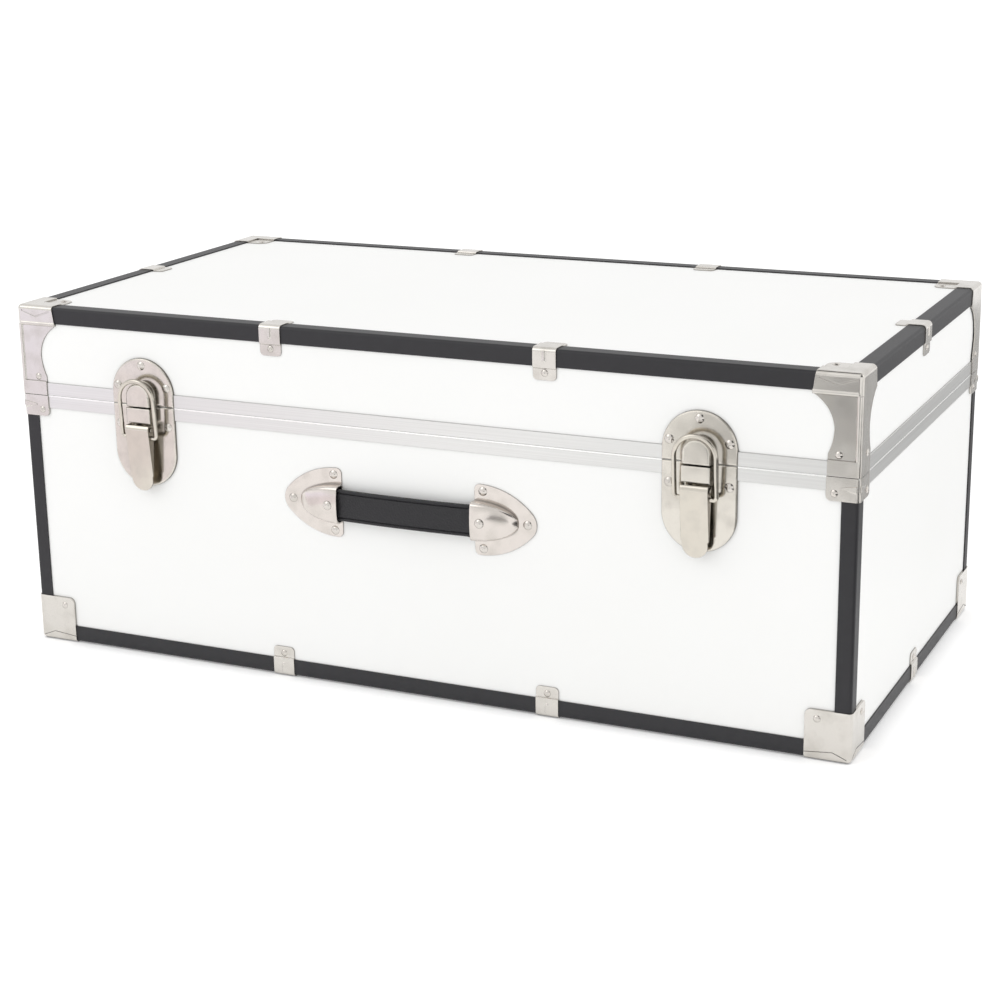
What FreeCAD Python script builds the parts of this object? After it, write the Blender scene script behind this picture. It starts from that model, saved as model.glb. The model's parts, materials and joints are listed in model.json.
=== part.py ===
import FreeCAD, Part
import math
import os
from FreeCAD import Vector

# A storage trunk: boarded case and lid, bound edges, pressed corners, draw latches and a strap handle.
# Millimetres. X runs along the length, the front face looks to -Y, and the trunk stands on Z = 0.

# Overall size over the corner hardware, and the lid's depth down to the seam
length = 762.0
depth = 400.0
height = 311.0
lid_depth = 80.4

# Boards and sheet metal
board = 8.0
edge_sheet = 1.2
hardware_sheet = 1.0
arris_radius = 1.5

# Clearances
seam_gap = 0.6
butt_gap = 0.3
running_gap = 0.5
pin_clearance = 0.05
seat_clearance = 0.02
overrun = 10.0
corner_reach = 80.0

# Edge bindings
binding_leg = 14.5
upright_leg = 13.4
binding_setback = 20.0

# Rim strips on both sides of the seam
rim_drop = 11.0
rim_inner_leg = 8.0
tongue_height = 6.0
tongue_setback = 0.8
rim_chamfer = 0.8

# Lid corners, from the top plate down to the seam
boot_band_width = 39.0
boot_band_lap = 2.0
boot_plate_width = 36.5
boot_waist_width = 21.5
boot_waist_share = 0.43
boot_foot_width = 26.0
boot_foot_rise = 4.6
boot_step_rise = 1.2
boot_bead_radius = 2.6
boot_round = 8.0
boot_tab_lap = 1.5
boot_nail_margin = 7.0
boot_rivet_margin = 8.5
boot_rivet_rise = 4.1
boot_curve_share = 0.35
boot_flare_share = 0.25
boot_roll_radius = 2.0
boot_roll_proud = 0.7
boot_roll_rise = 1.5
boot_dimple_margin = 5.0
boot_dimple_drop = 4.2
boot_dimple_fall = 4.8
boot_dimple_line = 1.2
boot_dimple_depth = 0.35

# Rim brackets under the lid corners
bracket_width = 26.5
bracket_drop = 18.6
bracket_round = 4.0
bracket_rivet_margin = 6.5
bracket_rivet_rise = 5.9
bracket_rib_rise = 8.5
bracket_rib_radius = 2.2
bracket_rib_proud = 0.6
bracket_rib_length = 12.0
bracket_rib_end_share = 0.25

# Bottom corner caps
cap_width = 38.0
cap_height = 42.0
cap_round = 5.0
cap_nail_margin = 10.0
cap_nail_drop = 7.3
lap_edge_height = 5.5
lap_peak_height = 8.7
lap_end_height = 4.0
lap_peak_inset = 15.0
lap_end_inset = 3.5
lap_groove = 0.7
lap_groove_depth = 0.5

# Edge clips
clip_width = 20.0
clip_tail = 11.0
clip_round = 3.5
clip_step_run = 0.8
clip_place_share = 0.1634
clip_nail_gap = 0.3
clip_rib_radius = 2.5
clip_rib_rise = 0.7
clip_rib_length = 10.5

# Domed fastener heads
nail_radius = 3.0
nail_rise = 1.2
rivet_radius = 3.9
rivet_rise = 1.6

# Draw latches
latch_place_share = 1 / 3
latch_width = 61.5
latch_rise = 41.3
latch_drop = 71.9
latch_plate = 1.2
latch_bevel = 0.7
latch_rivet_margin = 6.2
latch_side_rivet_rise = 16.9
latch_low_rivet_drop = 17.4
nose_width = 24.0
nose_rise = 21.1
nose_gap = 0.8
nose_proud = 9.0
nose_round = 2.0
block_round = 0.8
lever_width = 23.0
lever_sheet = 1.2
lever_pivot_drop = 19.4
lever_pivot_proud = 7.5
lever_reach = 5.2
lever_curl_angle = 48.0
lever_tip_drop = 2.7
lever_tip_proud = 7.0
lever_tab_inset = 1.0
lever_cheek_rise = 11.0
lever_cheek_depth = 3.6
lever_cheek_drop = 5.0
lever_pin_radius = 1.3
lever_pin_head_radius = 2.2
lever_pin_head = 0.8
ear_sheet = 1.5
ear_half_height = 2.4
ear_root_share = 0.3
loop_wire_radius = 1.9
loop_side_gap = 2.4
loop_face_gap = 0.3
loop_clearance = 4.6
loop_pivot_drop = 7.0
loop_pivot_reach = 0.6
loop_bend_radius = 3.0
loop_end_length = 2.5

# Strap handle
handle_drop = 67.4
handle_cap_mouth = 61.5
handle_cap_length = 55.0
handle_cap_margin = 13.5
handle_tip_round = 14.0
handle_ear_round = 4.5
handle_dome_length = 39.5
handle_dome_round = 4.0
handle_dome_crown = 1.0
handle_dome_shares = (0.0, 0.3, 0.55, 0.75, 0.9)
handle_dome_end_share = 0.98
handle_rivet_seat = 0.3
handle_ear_rivet_inset = 7.5
handle_ear_rivet_share = 0.58
handle_tip_rivet_inset = 8.0
handle_through_rivet_inset = 8.5
handle_through_rivet_radius = 2.0
strap_half_height = 13.4
strap_thickness = 4.0
strap_proud = 8.0
strap_end_proud = 4.6
strap_side_gap = 2.1
strap_face_gap = 0.8
strap_shoulder_setback = 3.5
strap_round_run = 13.5
strap_round_share = 0.807
strap_end_run = 22.5
strap_end_share = 0.35
strap_play = 3.0

# Hinges on the back
hinge_place_share = 0.2625
hinge_width = 50.0
hinge_leaf_height = 35.0
hinge_barrel_gap = 0.6
hinge_barrel_radius = 3.4
hinge_pin_radius = 1.5
hinge_leaf_start = 3.8
hinge_neck_lap = 0.4
hinge_neck_high = 1.0
hinge_neck_reach = 0.5
hinge_knuckle_share = 0.34
hinge_rivet_drop = 11.0
hinge_rivet_inset = 9.0

# Lid stay inside the left end
stay_floor_gap = 22.0
stay_lid_angle = 8.0
stay_case_angle = 12.0
stay_opening_angle = 100.0
stay_bar_width = 14.0
stay_bar_sheet = 2.0
stay_bar_standoff = 1.1
stay_shank_radius = 2.5
stay_spacer_radius = 5.0
stay_head_radius = 6.0
stay_head = 1.5
stay_slot_wall = 6.0

# Planes that follow from the sizes above
board_x = length / 2 - hardware_sheet - edge_sheet
board_y = depth / 2 - hardware_sheet - edge_sheet
board_low = hardware_sheet + edge_sheet
board_high = height - hardware_sheet - edge_sheet
edge_x = board_x + edge_sheet
edge_y = board_y + edge_sheet
edge_low = board_low - edge_sheet
seam_height = height - lid_depth
case_rim_top = seam_height - seam_gap / 2
lid_rim_low = seam_height + seam_gap / 2
case_wall_top = case_rim_top - edge_sheet
lid_wall_low = lid_rim_low + edge_sheet
case_floor = board_low + board
lid_ceiling = board_high - board
binding_end = hardware_sheet + binding_leg
hinge_y = edge_y + hinge_barrel_gap + hinge_barrel_radius

# Levels and reaches of the hardware, from the same sizes
boot_band_low = height - binding_end - boot_band_lap
boot_foot_top = lid_rim_low + rim_drop + boot_step_rise
boot_foot_height = boot_foot_top + boot_foot_rise
boot_waist_height = boot_foot_height + (boot_band_low - boot_foot_height) * boot_waist_share
bracket_low = case_rim_top - bracket_drop
clip_offset = length * clip_place_share
clip_leg = binding_end + clip_tail
clip_nail_inset = binding_end + hardware_sheet + clip_step_run + nail_radius + clip_nail_gap
plate_front = -(edge_y + latch_plate)
latch_offset = length * latch_place_share
latch_top = seam_height + latch_rise
latch_bottom = seam_height - latch_drop
latch_rivet_offset = latch_width / 2 - latch_rivet_margin
nose_front = -(depth / 2 + nose_proud)
lever_y = -(depth / 2 + lever_pivot_proud)
lever_z = seam_height - lever_pivot_drop
loop_y = lever_y - loop_pivot_reach
loop_z = lever_z - loop_pivot_drop
loop_half_width = lever_width / 2 + running_gap + lever_pin_head + loop_side_gap + loop_wire_radius
handle_height = seam_height - handle_drop
handle_cap_tip = handle_cap_mouth + handle_cap_length
handle_dome_half_height = strap_half_height + strap_side_gap + hardware_sheet
handle_dome_rise = edge_sheet + hardware_sheet + strap_proud + strap_face_gap + hardware_sheet
handle_cap_half_height = handle_dome_half_height + handle_cap_margin
handle_through_rivet_reach = handle_cap_mouth + handle_through_rivet_inset
hinge_offset = length * hinge_place_share
stay_slot_half = stay_shank_radius + running_gap
stay_bar_x = -(board_x - board - edge_sheet - tongue_setback - edge_sheet) + stay_bar_standoff

os.makedirs("parts", exist_ok=True)


def on_front(y):
    """Return a function that places (x, z) in the plane at this y."""
    return lambda x, z: Vector(x, y, z)


def on_end(x):
    """Return a function that places (y, z) in the plane at this x."""
    return lambda y, z: Vector(x, y, z)


def on_level(z):
    """Return a function that places (x, y) in the plane at this z."""
    return lambda x, y: Vector(x, y, z)


def closed_face(place, start, *steps):
    """Make a face from points; a step that is a pair of points is an arc through the first one."""
    edges = []
    here = start
    for step in steps + (start,):
        if isinstance(step[0], tuple):
            through, end = step
            edges.append(Part.Arc(place(*here), place(*through), place(*end)).toShape())
            here = end
        elif step != here:
            edges.append(Part.makeLine(place(*here), place(*step)))
            here = step
    return Part.Face(Part.Wire(edges))


def block(low, high):
    """Make a box between two opposite corners."""
    span = Vector(*high) - Vector(*low)
    return Part.makeBox(span.x, span.y, span.z, Vector(*low))


def mirrored_x(shape):
    """Mirror a shape to the other end of the trunk."""
    return shape.mirror(Vector(0, 0, 0), Vector(1, 0, 0))


def mirrored_y(shape):
    """Mirror a shape to the other side of the trunk."""
    return shape.mirror(Vector(0, 0, 0), Vector(0, 1, 0))


def turned(shape, degrees):
    """Turn a copy of a shape about the upright axis."""
    copy = shape.copy()
    copy.rotate(Vector(0, 0, 0), Vector(0, 0, 1), degrees)
    return copy


def moved(shape, x, y, z):
    """Move a copy of a shape."""
    copy = shape.copy()
    copy.translate(Vector(x, y, z))
    return copy


def short_edges(shape, axis, longest):
    """List the straight edges along an axis that are no longer than a length."""
    found = []
    for edge in shape.Edges:
        if edge.isClosed() or edge.Length > longest:
            continue
        run = edge.Vertexes[-1].Point - edge.Vertexes[0].Point
        if abs(abs(run.normalize().dot(axis)) - 1) < seat_clearance:
            found.append(edge)
    return found


def rounded_carcass():
    """Make the outer block of the boards with its arrises eased for the bindings."""
    box = block((-board_x, -board_y, board_low), (board_x, board_y, board_high))
    return box.makeFillet(arris_radius, box.Edges)


def dome_head(radius, rise):
    """Make a domed head that stands on Z = 0."""
    sphere_radius = (radius ** 2 + rise ** 2) / (2 * rise)
    ball = Part.makeSphere(sphere_radius, Vector(0, 0, rise - sphere_radius))
    return ball.common(Part.makeCylinder(radius, rise))


def head_on(head, point, normal):
    """Set a copy of a head on a face, with its dome along the face's normal."""
    copy = head.copy()
    turn = FreeCAD.Rotation(Vector(0, 0, 1), Vector(*normal))
    copy.Placement = FreeCAD.Placement(Vector(*point), turn)
    return copy


nail = dome_head(nail_radius, nail_rise)
rivet = dome_head(rivet_radius, rivet_rise)
carcass = rounded_carcass()
front = (0, -1, 0)
right = (1, 0, 0)
top = (0, 0, 1)


def walls(low, high):
    """Make the front, back, left and right boards between two heights."""
    inner_y = board_y - board
    inner_x = board_x - board
    front_wall = block((-board_x, -board_y, low), (board_x, -inner_y, high)).common(carcass)
    right_wall = block((inner_x, -inner_y, low), (board_x, inner_y, high)).common(carcass)
    return {
        "front": front_wall,
        "back": mirrored_y(front_wall),
        "left": mirrored_x(right_wall),
        "right": right_wall,
    }


def flat_board(low, high):
    """Make a board over the whole footprint between two heights."""
    return block((-board_x, -board_y, low), (board_x, board_y, high)).common(carcass)


def mitred(section, half_along, half_across):
    """Draw a front rim section out along X and mitre both ends."""
    reach = half_along + overrun
    face = closed_face(on_end(-reach), *[(-half_across - n, z) for n, z in section])
    strip = face.extrude(Vector(2 * reach, 0, 0))
    inset = board + edge_sheet + overrun
    wedge = closed_face(
        on_level(board_low),
        (-half_along - overrun, -half_across - overrun),
        (half_along + overrun, -half_across - overrun),
        (half_along - inset, -half_across + inset),
        (-half_along + inset, -half_across + inset),
    )
    return strip.common(wedge.extrude(Vector(0, 0, height)))


def case_rim_section():
    """List the case rim's section as (outward, height): a channel with a tongue inside the lid."""
    tongue_outer = -board - edge_sheet - tongue_setback
    tongue_inner = tongue_outer - edge_sheet
    return [
        (edge_sheet - rim_chamfer, case_rim_top),
        (edge_sheet, case_rim_top - rim_chamfer),
        (edge_sheet, case_rim_top - rim_drop),
        (0, case_rim_top - rim_drop),
        (0, case_wall_top),
        (-board, case_wall_top),
        (-board, case_rim_top - rim_inner_leg),
        (-board - edge_sheet, case_rim_top - rim_inner_leg),
        (-board - edge_sheet, case_wall_top),
        (tongue_inner, case_wall_top),
        (tongue_inner, case_rim_top + tongue_height),
        (tongue_outer, case_rim_top + tongue_height),
        (tongue_outer, case_rim_top),
    ]


def lid_rim_section():
    """List the lid rim's section as (outward, height): a plain channel."""
    return [
        (edge_sheet, lid_rim_low),
        (edge_sheet, lid_rim_low + rim_drop),
        (0, lid_rim_low + rim_drop),
        (0, lid_wall_low),
        (-board, lid_wall_low),
        (-board, lid_rim_low + rim_inner_leg),
        (-board - edge_sheet, lid_rim_low + rim_inner_leg),
        (-board - edge_sheet, lid_rim_low),
    ]


def rim_set(section):
    """Make the front, back and end strips of one rim."""
    long_strip = mitred(section, board_x, board_y)
    end_strip = mitred(section, board_y, board_x)
    ends = Part.makeCompound([turned(end_strip, -90), turned(end_strip, 90)])
    return {"front": long_strip, "back": turned(long_strip, 180), "end": ends}


def angle_strip(run, leg):
    """Make an edge binding along X: two legs from a rounded arris at the origin, inward along +Y and +Z."""
    outer = arris_radius + edge_sheet
    shift = outer * (1 - math.sqrt(0.5))
    inner_shift = outer - arris_radius * math.sqrt(0.5)
    face = closed_face(
        on_end(-run / 2),
        (leg, 0),
        (outer, 0),
        ((shift, shift), (0, outer)),
        (0, leg),
        (edge_sheet, leg),
        (edge_sheet, outer),
        ((inner_shift, inner_shift), (outer, edge_sheet)),
        (leg, edge_sheet),
    )
    return face.extrude(Vector(run, 0, 0))


def case_bindings():
    """Make the bindings round the case's bottom edge."""
    long_strip = angle_strip(2 * (edge_x - binding_setback), binding_leg)
    end_strip = angle_strip(2 * (edge_y - binding_setback), binding_leg)
    long_run = moved(long_strip, 0, -edge_y, edge_low)
    end_run = turned(moved(end_strip, 0, -edge_x, edge_low), 90)
    ends = Part.makeCompound([end_run, mirrored_x(end_run)])
    return {"front": long_run, "back": mirrored_y(long_run), "end": ends}


def flipped(shape):
    """Mirror a shape from the case's bottom edge to the lid's top edge."""
    return shape.mirror(Vector(0, 0, height / 2), Vector(0, 0, 1))


def upright_bindings():
    """Make the four bindings up the case's corners, between the bottom bindings and the rim."""
    low = edge_low + binding_setback
    high = case_rim_top - rim_drop - butt_gap
    strip = angle_strip(high - low, upright_leg)
    strip.rotate(Vector(0, 0, 0), Vector(0, 1, 0), -90)
    at_corner = moved(strip, edge_x, -edge_y, (low + high) / 2)
    return Part.makeCompound(list(four_corners(at_corner).values()))


def corner_block(level_x, level_y, low, high, radius):
    """Make the front right corner of a box with its upright arris rounded."""
    box = block((level_x - corner_reach, -level_y, low), (level_x, -level_y + corner_reach, high))
    middle = Vector(level_x, -level_y, (low + high) / 2)
    arris = [e for e in box.Edges if (e.CenterOfMass - middle).Length < seat_clearance]
    return box.makeFillet(radius, arris)


def boot_outline(place, corner, inward):
    """Draw a lid corner's outline on one face; corner is the outer plane and inward the way from it."""
    bend = boot_waist_height + (boot_band_low - boot_waist_height) * boot_curve_share
    bend_width = boot_waist_width + (boot_band_width - boot_waist_width) * boot_curve_share ** 2
    foot_mid = (boot_foot_height + boot_waist_height) / 2
    foot_mid_width = boot_waist_width + (boot_foot_width - boot_waist_width) * boot_flare_share
    return closed_face(
        place,
        (corner - inward * overrun, lid_rim_low),
        (corner + inward * boot_foot_width, lid_rim_low),
        (corner + inward * boot_foot_width, boot_foot_height),
        (
            (corner + inward * foot_mid_width, foot_mid),
            (corner + inward * boot_waist_width, boot_waist_height),
        ),
        (
            (corner + inward * bend_width, bend),
            (corner + inward * boot_band_width, boot_band_low),
        ),
        (corner + inward * boot_plate_width, height),
        (corner + inward * boot_plate_width, height + overrun),
        (corner - inward * overrun, height + overrun),
    )


def boot_skin():
    """Make a lid corner's sheet before it is cut to its outline: band, foot, legs and the upright bead."""
    half_x = length / 2
    half_y = depth / 2
    raised_radius = arris_radius + edge_sheet + hardware_sheet
    band = corner_block(half_x, half_y, boot_band_low, height, raised_radius)
    roof = [e for e in band.Edges if abs(e.CenterOfMass.z - height) < seat_clearance]
    inner_x = half_x - raised_radius - seat_clearance
    inner_y = -half_y + raised_radius + seat_clearance
    outer = [e for e in roof if e.BoundBox.XMin > inner_x or e.BoundBox.YMax < inner_y]
    band = band.makeFillet(raised_radius - seat_clearance, outer)
    foot = corner_block(half_x, half_y, lid_rim_low, boot_foot_top, raised_radius)
    leg_y = board_y + hardware_sheet
    leg = corner_block(half_x, leg_y, lid_rim_low, boot_band_low, arris_radius + hardware_sheet)
    behind = block((board_x, -board_y, boot_foot_top), (edge_x, -board_y + corner_reach, boot_band_low))
    bead_foot = Vector(half_x - boot_bead_radius, -half_y + boot_bead_radius, lid_rim_low)
    bead = Part.makeCylinder(boot_bead_radius, boot_band_low - lid_rim_low, bead_foot)
    return band.multiFuse([foot, leg.cut(behind), bead]).cut(carcass)


def boot_roll():
    """Make the roll pressed along the foot of a lid corner's front band, round where it meets the arris."""
    y = -depth / 2 + boot_roll_radius - boot_roll_proud
    z = boot_band_low + boot_roll_rise
    start = length / 2 - boot_band_width
    end = length / 2 - 2 * boot_roll_radius
    bar = Part.makeCylinder(boot_roll_radius, end - start, Vector(start, y, z), Vector(1, 0, 0))
    bar = bar.fuse(Part.makeSphere(boot_roll_radius, Vector(end, y, z)))
    low = (start, -depth / 2 - boot_roll_proud, z - boot_roll_radius)
    high = (length / 2, -depth / 2 + hardware_sheet / 2, z + boot_roll_radius)
    return bar.common(block(low, high))


def boot_dimple():
    """Make the cut for the shallow V pressed in a lid corner's front band."""
    left = length / 2 - boot_band_width + boot_dimple_margin
    right_end = length / 2 - boot_dimple_margin
    level = height - boot_dimple_drop
    line = [(left, level), ((left + right_end) / 2, level - boot_dimple_fall), (right_end, level)]
    lower = [(x, z - boot_dimple_line) for x, z in reversed(line)]
    return closed_face(on_front(-depth / 2), *(line + lower)).extrude(Vector(0, boot_dimple_depth, 0))


def lid_corner(cutters):
    """Press one lid corner: a top plate, a band over the bindings, a waist and a foot over the rim."""
    half_x = length / 2
    half_y = depth / 2
    reach = overrun + board_low
    front_part = boot_outline(on_front(-half_y - overrun), half_x, -1).extrude(Vector(0, reach, 0))
    side_part = boot_outline(on_end(half_x + overrun), -half_y, 1).extrude(Vector(-reach, 0, 0))
    inner_x = half_x - boot_plate_width
    inner_y = -half_y + boot_plate_width
    plate = block((inner_x, -half_y, board_high), (half_x, inner_y, height))
    axis = Vector(inner_x, inner_y, 0)
    from_axis = [(e, (e.CenterOfMass - axis).cross(Vector(0, 0, 1)).Length) for e in plate.Edges]
    plate = plate.makeFillet(boot_round, [e for e, away in from_axis if away < seat_clearance])
    tab = binding_end + boot_tab_lap
    lowered = block((inner_x, -half_y + tab, board_high + hardware_sheet), (half_x - tab, inner_y, height))
    region = front_part.multiFuse([side_part, plate]).cut(lowered)
    sheet = boot_skin().common(region).cut(Part.makeCompound(cutters)).cut(boot_dimple())
    return sheet.fuse(boot_roll()).removeSplitter()


def bracket_rib():
    """Make the tapered rib pressed on a bracket's front face, running in from the arris."""
    y = -depth / 2 + bracket_rib_radius - bracket_rib_proud
    z = bracket_low + bracket_rib_rise
    start = length / 2 - arris_radius - edge_sheet - hardware_sheet
    tip_radius = bracket_rib_radius * bracket_rib_end_share
    cone = Part.makeCone(
        bracket_rib_radius, tip_radius, bracket_rib_length, Vector(start, y, z), Vector(-1, 0, 0)
    )
    low = (start - bracket_rib_length, -depth / 2 - bracket_rib_proud, z - bracket_rib_radius)
    high = (start, -depth / 2 + hardware_sheet / 2, z + bracket_rib_radius)
    return cone.common(block(low, high))


def bracket_side_rib():
    """Turn the bracket's front rib to its side face, across the corner's diagonal."""
    half_x = length / 2
    half_y = depth / 2
    rib = moved(bracket_rib(), -half_x, half_y, 0)
    return moved(rib.mirror(Vector(0, 0, 0), Vector(1, 1, 0)), half_x, -half_y, 0)


def rim_bracket(cutters):
    """Press one bracket that binds the case's rim at a corner."""
    half_x = length / 2
    half_y = depth / 2
    radius = arris_radius + edge_sheet + hardware_sheet
    skin = corner_block(half_x, half_y, bracket_low, case_rim_top, radius)
    limit = block(
        (half_x - bracket_width, -half_y, bracket_low),
        (half_x, -half_y + bracket_width, case_rim_top),
    )
    piece = skin.common(limit).cut(carcass).cut(Part.makeCompound(cutters)).removeSplitter()
    ends = short_edges(piece, Vector(0, 1, 0), board) + short_edges(piece, Vector(1, 0, 0), board)
    low = [e for e in ends if abs(e.CenterOfMass.z - bracket_low) < seat_clearance]
    piece = piece.makeFillet(bracket_round, [e for e in low if is_free_end(e, bracket_width)])
    return piece.multiFuse([bracket_rib(), bracket_side_rib()]).removeSplitter()


def is_free_end(edge, width):
    """Tell whether an edge is at the far end of a corner piece's arm."""
    far_x = abs(edge.CenterOfMass.x - (length / 2 - width)) < seat_clearance
    far_y = abs(edge.CenterOfMass.y + (depth / 2 - width)) < seat_clearance
    return far_x or far_y


def lap_groove_cut(place, corner, inward, direction):
    """Draw the groove along the folded lap of a bottom cap on one face."""
    line = [
        (corner + inward * (cap_width + overrun), lap_edge_height),
        (corner + inward * lap_peak_inset, lap_peak_height),
        (corner + inward * lap_end_inset, lap_end_height),
    ]
    lower = [(a, b - lap_groove) for a, b in reversed(line)]
    return closed_face(place, *(line + lower)).extrude(direction)


def bottom_cap(cutters):
    """Press one bottom corner cap with its folded laps."""
    half_x = length / 2
    half_y = depth / 2
    radius = arris_radius + edge_sheet + hardware_sheet
    box = block((half_x - cap_width, -half_y, 0), (half_x, -half_y + cap_width, cap_height))
    corner = Vector(half_x, -half_y, 0)
    near = []
    for edge in box.Edges:
        if min(v.Point.distanceToPoint(corner) for v in edge.Vertexes) < seat_clearance:
            near.append(edge)
    piece = box.makeFillet(radius, near).cut(carcass).cut(Part.makeCompound(cutters)).removeSplitter()
    ends = short_edges(piece, Vector(0, 1, 0), board) + short_edges(piece, Vector(1, 0, 0), board)
    high = [e for e in ends if abs(e.CenterOfMass.z - cap_height) < seat_clearance]
    piece = piece.makeFillet(cap_round, [e for e in high if is_free_end(e, cap_width)])
    front_groove = lap_groove_cut(on_front(-half_y), half_x, -1, Vector(0, lap_groove_depth, 0))
    side_groove = lap_groove_cut(on_end(half_x), -half_y, 1, Vector(-lap_groove_depth, 0, 0))
    return piece.cut(front_groove).cut(side_groove)


def clip_section():
    """Draw an edge clip's section: legs inward from the arris, stepped down off the binding."""
    outer = arris_radius + edge_sheet + hardware_sheet
    inner = outer - hardware_sheet
    outer_mid = outer * (1 - math.sqrt(0.5))
    inner_mid = outer - inner * math.sqrt(0.5)
    step = binding_end
    shoulder = step + hardware_sheet
    under = edge_sheet + hardware_sheet
    return closed_face(
        on_end(-clip_width / 2),
        (outer, 0),
        ((outer_mid, outer_mid), (0, outer)),
        (0, shoulder),
        (edge_sheet, shoulder + clip_step_run),
        (edge_sheet, clip_leg),
        (under, clip_leg),
        (under, step),
        (hardware_sheet, step),
        (hardware_sheet, outer),
        ((inner_mid, inner_mid), (outer, hardware_sheet)),
        (step, hardware_sheet),
        (step, under),
        (clip_leg, under),
        (clip_leg, edge_sheet),
        (shoulder + clip_step_run, edge_sheet),
        (shoulder, 0),
    )


def clip_rib():
    """Make the pressed rib on a clip's upright leg, standing out of the face at Y = 0."""
    axis_y = clip_rib_radius - clip_rib_rise
    start = arris_radius + edge_sheet
    round_bar = Part.makeCylinder(clip_rib_radius, clip_rib_length - start, Vector(0, axis_y, start))
    round_end = Part.makeSphere(clip_rib_radius, Vector(0, axis_y, clip_rib_length))
    limit = block((-clip_rib_radius, -clip_rib_rise, start), (clip_rib_radius, hardware_sheet, clip_leg))
    return round_bar.fuse(round_end).common(limit)


def edge_clip():
    """Make one clip for a bottom edge, with its arris at the origin and its upright leg along +Z."""
    sheet = clip_section().extrude(Vector(clip_width, 0, 0))
    across_y = short_edges(sheet, Vector(0, 1, 0), board)
    across_z = short_edges(sheet, Vector(0, 0, 1), board)
    ends = [e for e in across_y if abs(e.CenterOfMass.z - clip_leg) < seat_clearance]
    ends += [e for e in across_z if abs(e.CenterOfMass.y - clip_leg) < seat_clearance]
    return sheet.makeFillet(clip_round, ends).fuse(clip_rib()).removeSplitter()


def clip_set():
    """Place the clips along the case's bottom edges."""
    clip = edge_clip()
    on_long_edge = [moved(clip, side * clip_offset, -depth / 2, 0) for side in (-1, 1)]
    on_right = turned(moved(clip, 0, -length / 2, 0), 90)
    return on_long_edge + [mirrored_y(c) for c in on_long_edge] + [on_right, mirrored_x(on_right)]


def clip_nails():
    """Set the nails in the upright legs of the case's clips."""
    face_y = -(edge_y - edge_sheet + hardware_sheet)
    face_x = edge_x - edge_sheet + hardware_sheet
    on_long_edge = [head_on(nail, (side * clip_offset, face_y, clip_nail_inset), front) for side in (-1, 1)]
    on_right = head_on(nail, (face_x, 0, clip_nail_inset), right)
    return on_long_edge + [mirrored_y(n) for n in on_long_edge] + [on_right, mirrored_x(on_right)]


def four_corners(shape):
    """Copy a front right piece to all four corners."""
    back = mirrored_y(shape)
    return {
        "front_right": shape,
        "front_left": mirrored_x(shape),
        "back_right": back,
        "back_left": mirrored_x(back),
    }


def corner_heads(head, inset, z, front_sunk):
    """Set fastener heads on the front and side faces of the four corners; the front ones may be sunk."""
    on_face = head_on(head, (length / 2 - inset, -depth / 2 + front_sunk, z), front)
    on_side = head_on(head, (length / 2, -depth / 2 + inset, z), right)
    return list(four_corners(on_face).values()) + list(four_corners(on_side).values())


def top_plate_nails():
    """Set the nail in each lid corner's top plate."""
    inset = boot_plate_width - boot_nail_margin
    one = head_on(nail, (length / 2 - inset, -depth / 2 + inset, board_high + hardware_sheet), top)
    return list(four_corners(one).values())


def bevelled_plate(face, rim_strip):
    """Thicken a latch or hinge plate's outline, bevel its front edge and fit it over the rim."""
    plate = face.extrude(Vector(0, plate_front + board_y, 0))
    return plate.makeChamfer(latch_bevel, edges_at(plate, plate_front)).cut(rim_strip)


def edges_at(shape, y):
    """List the edges that lie wholly in the plane at this y."""
    found = []
    for edge in shape.Edges:
        if abs(edge.BoundBox.YMin - y) < seat_clearance and abs(edge.BoundBox.YMax - y) < seat_clearance:
            found.append(edge)
    return found


def tombstone(place, half_width, low, high):
    """Draw a plate with a flat foot and a round head."""
    shoulder = high - half_width
    return closed_face(place, (-half_width, low), (half_width, low), (half_width, shoulder),
                       ((0, high), (-half_width, shoulder)))


def latch_keeper(rim_strip):
    """Make the lid's half of a latch: a round-headed plate with the nose that the loop goes round."""
    outline = tombstone(on_front(-board_y), latch_width / 2, lid_rim_low, latch_top)
    plate = bevelled_plate(outline, rim_strip)
    nose_low = seam_height + nose_gap
    nose = tombstone(on_front(plate_front), nose_width / 2, nose_low, seam_height + nose_rise)
    nose = nose.extrude(Vector(0, nose_front - plate_front, 0))
    round_edges = [e for e in edges_at(nose, nose_front) if e.BoundBox.ZMax > nose_low + seat_clearance]
    return plate.fuse(nose.makeFillet(nose_round, round_edges)).removeSplitter()


def latch_base(rim_strip):
    """Make the case's half of a latch: a round-footed plate, the block under the nose and two ears."""
    half = latch_width / 2
    shoulder = latch_bottom + half
    outline = closed_face(
        on_front(-board_y),
        (-half, case_rim_top),
        (half, case_rim_top),
        (half, shoulder),
        ((0, latch_bottom), (-half, shoulder)),
    )
    plate = bevelled_plate(outline, rim_strip)
    block_low = lever_z + lever_reach + running_gap
    block_top = seam_height - nose_gap
    body = block((-nose_width / 2, nose_front, block_low), (nose_width / 2, plate_front, block_top))
    upright = [e for e in edges_at(body, nose_front) if e.BoundBox.ZLength > block_round]
    body = body.makeFillet(block_round, upright)
    ear_outer = lever_width / 2 - lever_sheet - running_gap
    ear = closed_face(
        on_end(ear_outer - ear_sheet),
        (plate_front, lever_z - ear_half_height),
        (plate_front, lever_z + ear_half_height * ear_root_share),
        (lever_y, lever_z + ear_half_height),
        ((lever_y - ear_half_height, lever_z), (lever_y, lever_z - ear_half_height)),
    ).extrude(Vector(ear_sheet, 0, 0))
    whole = plate.multiFuse([body, ear, mirrored_x(ear)]).removeSplitter()
    return whole.cut(cross_rod(lever_pin_radius + seat_clearance, lever_width, lever_y, lever_z))


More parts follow.
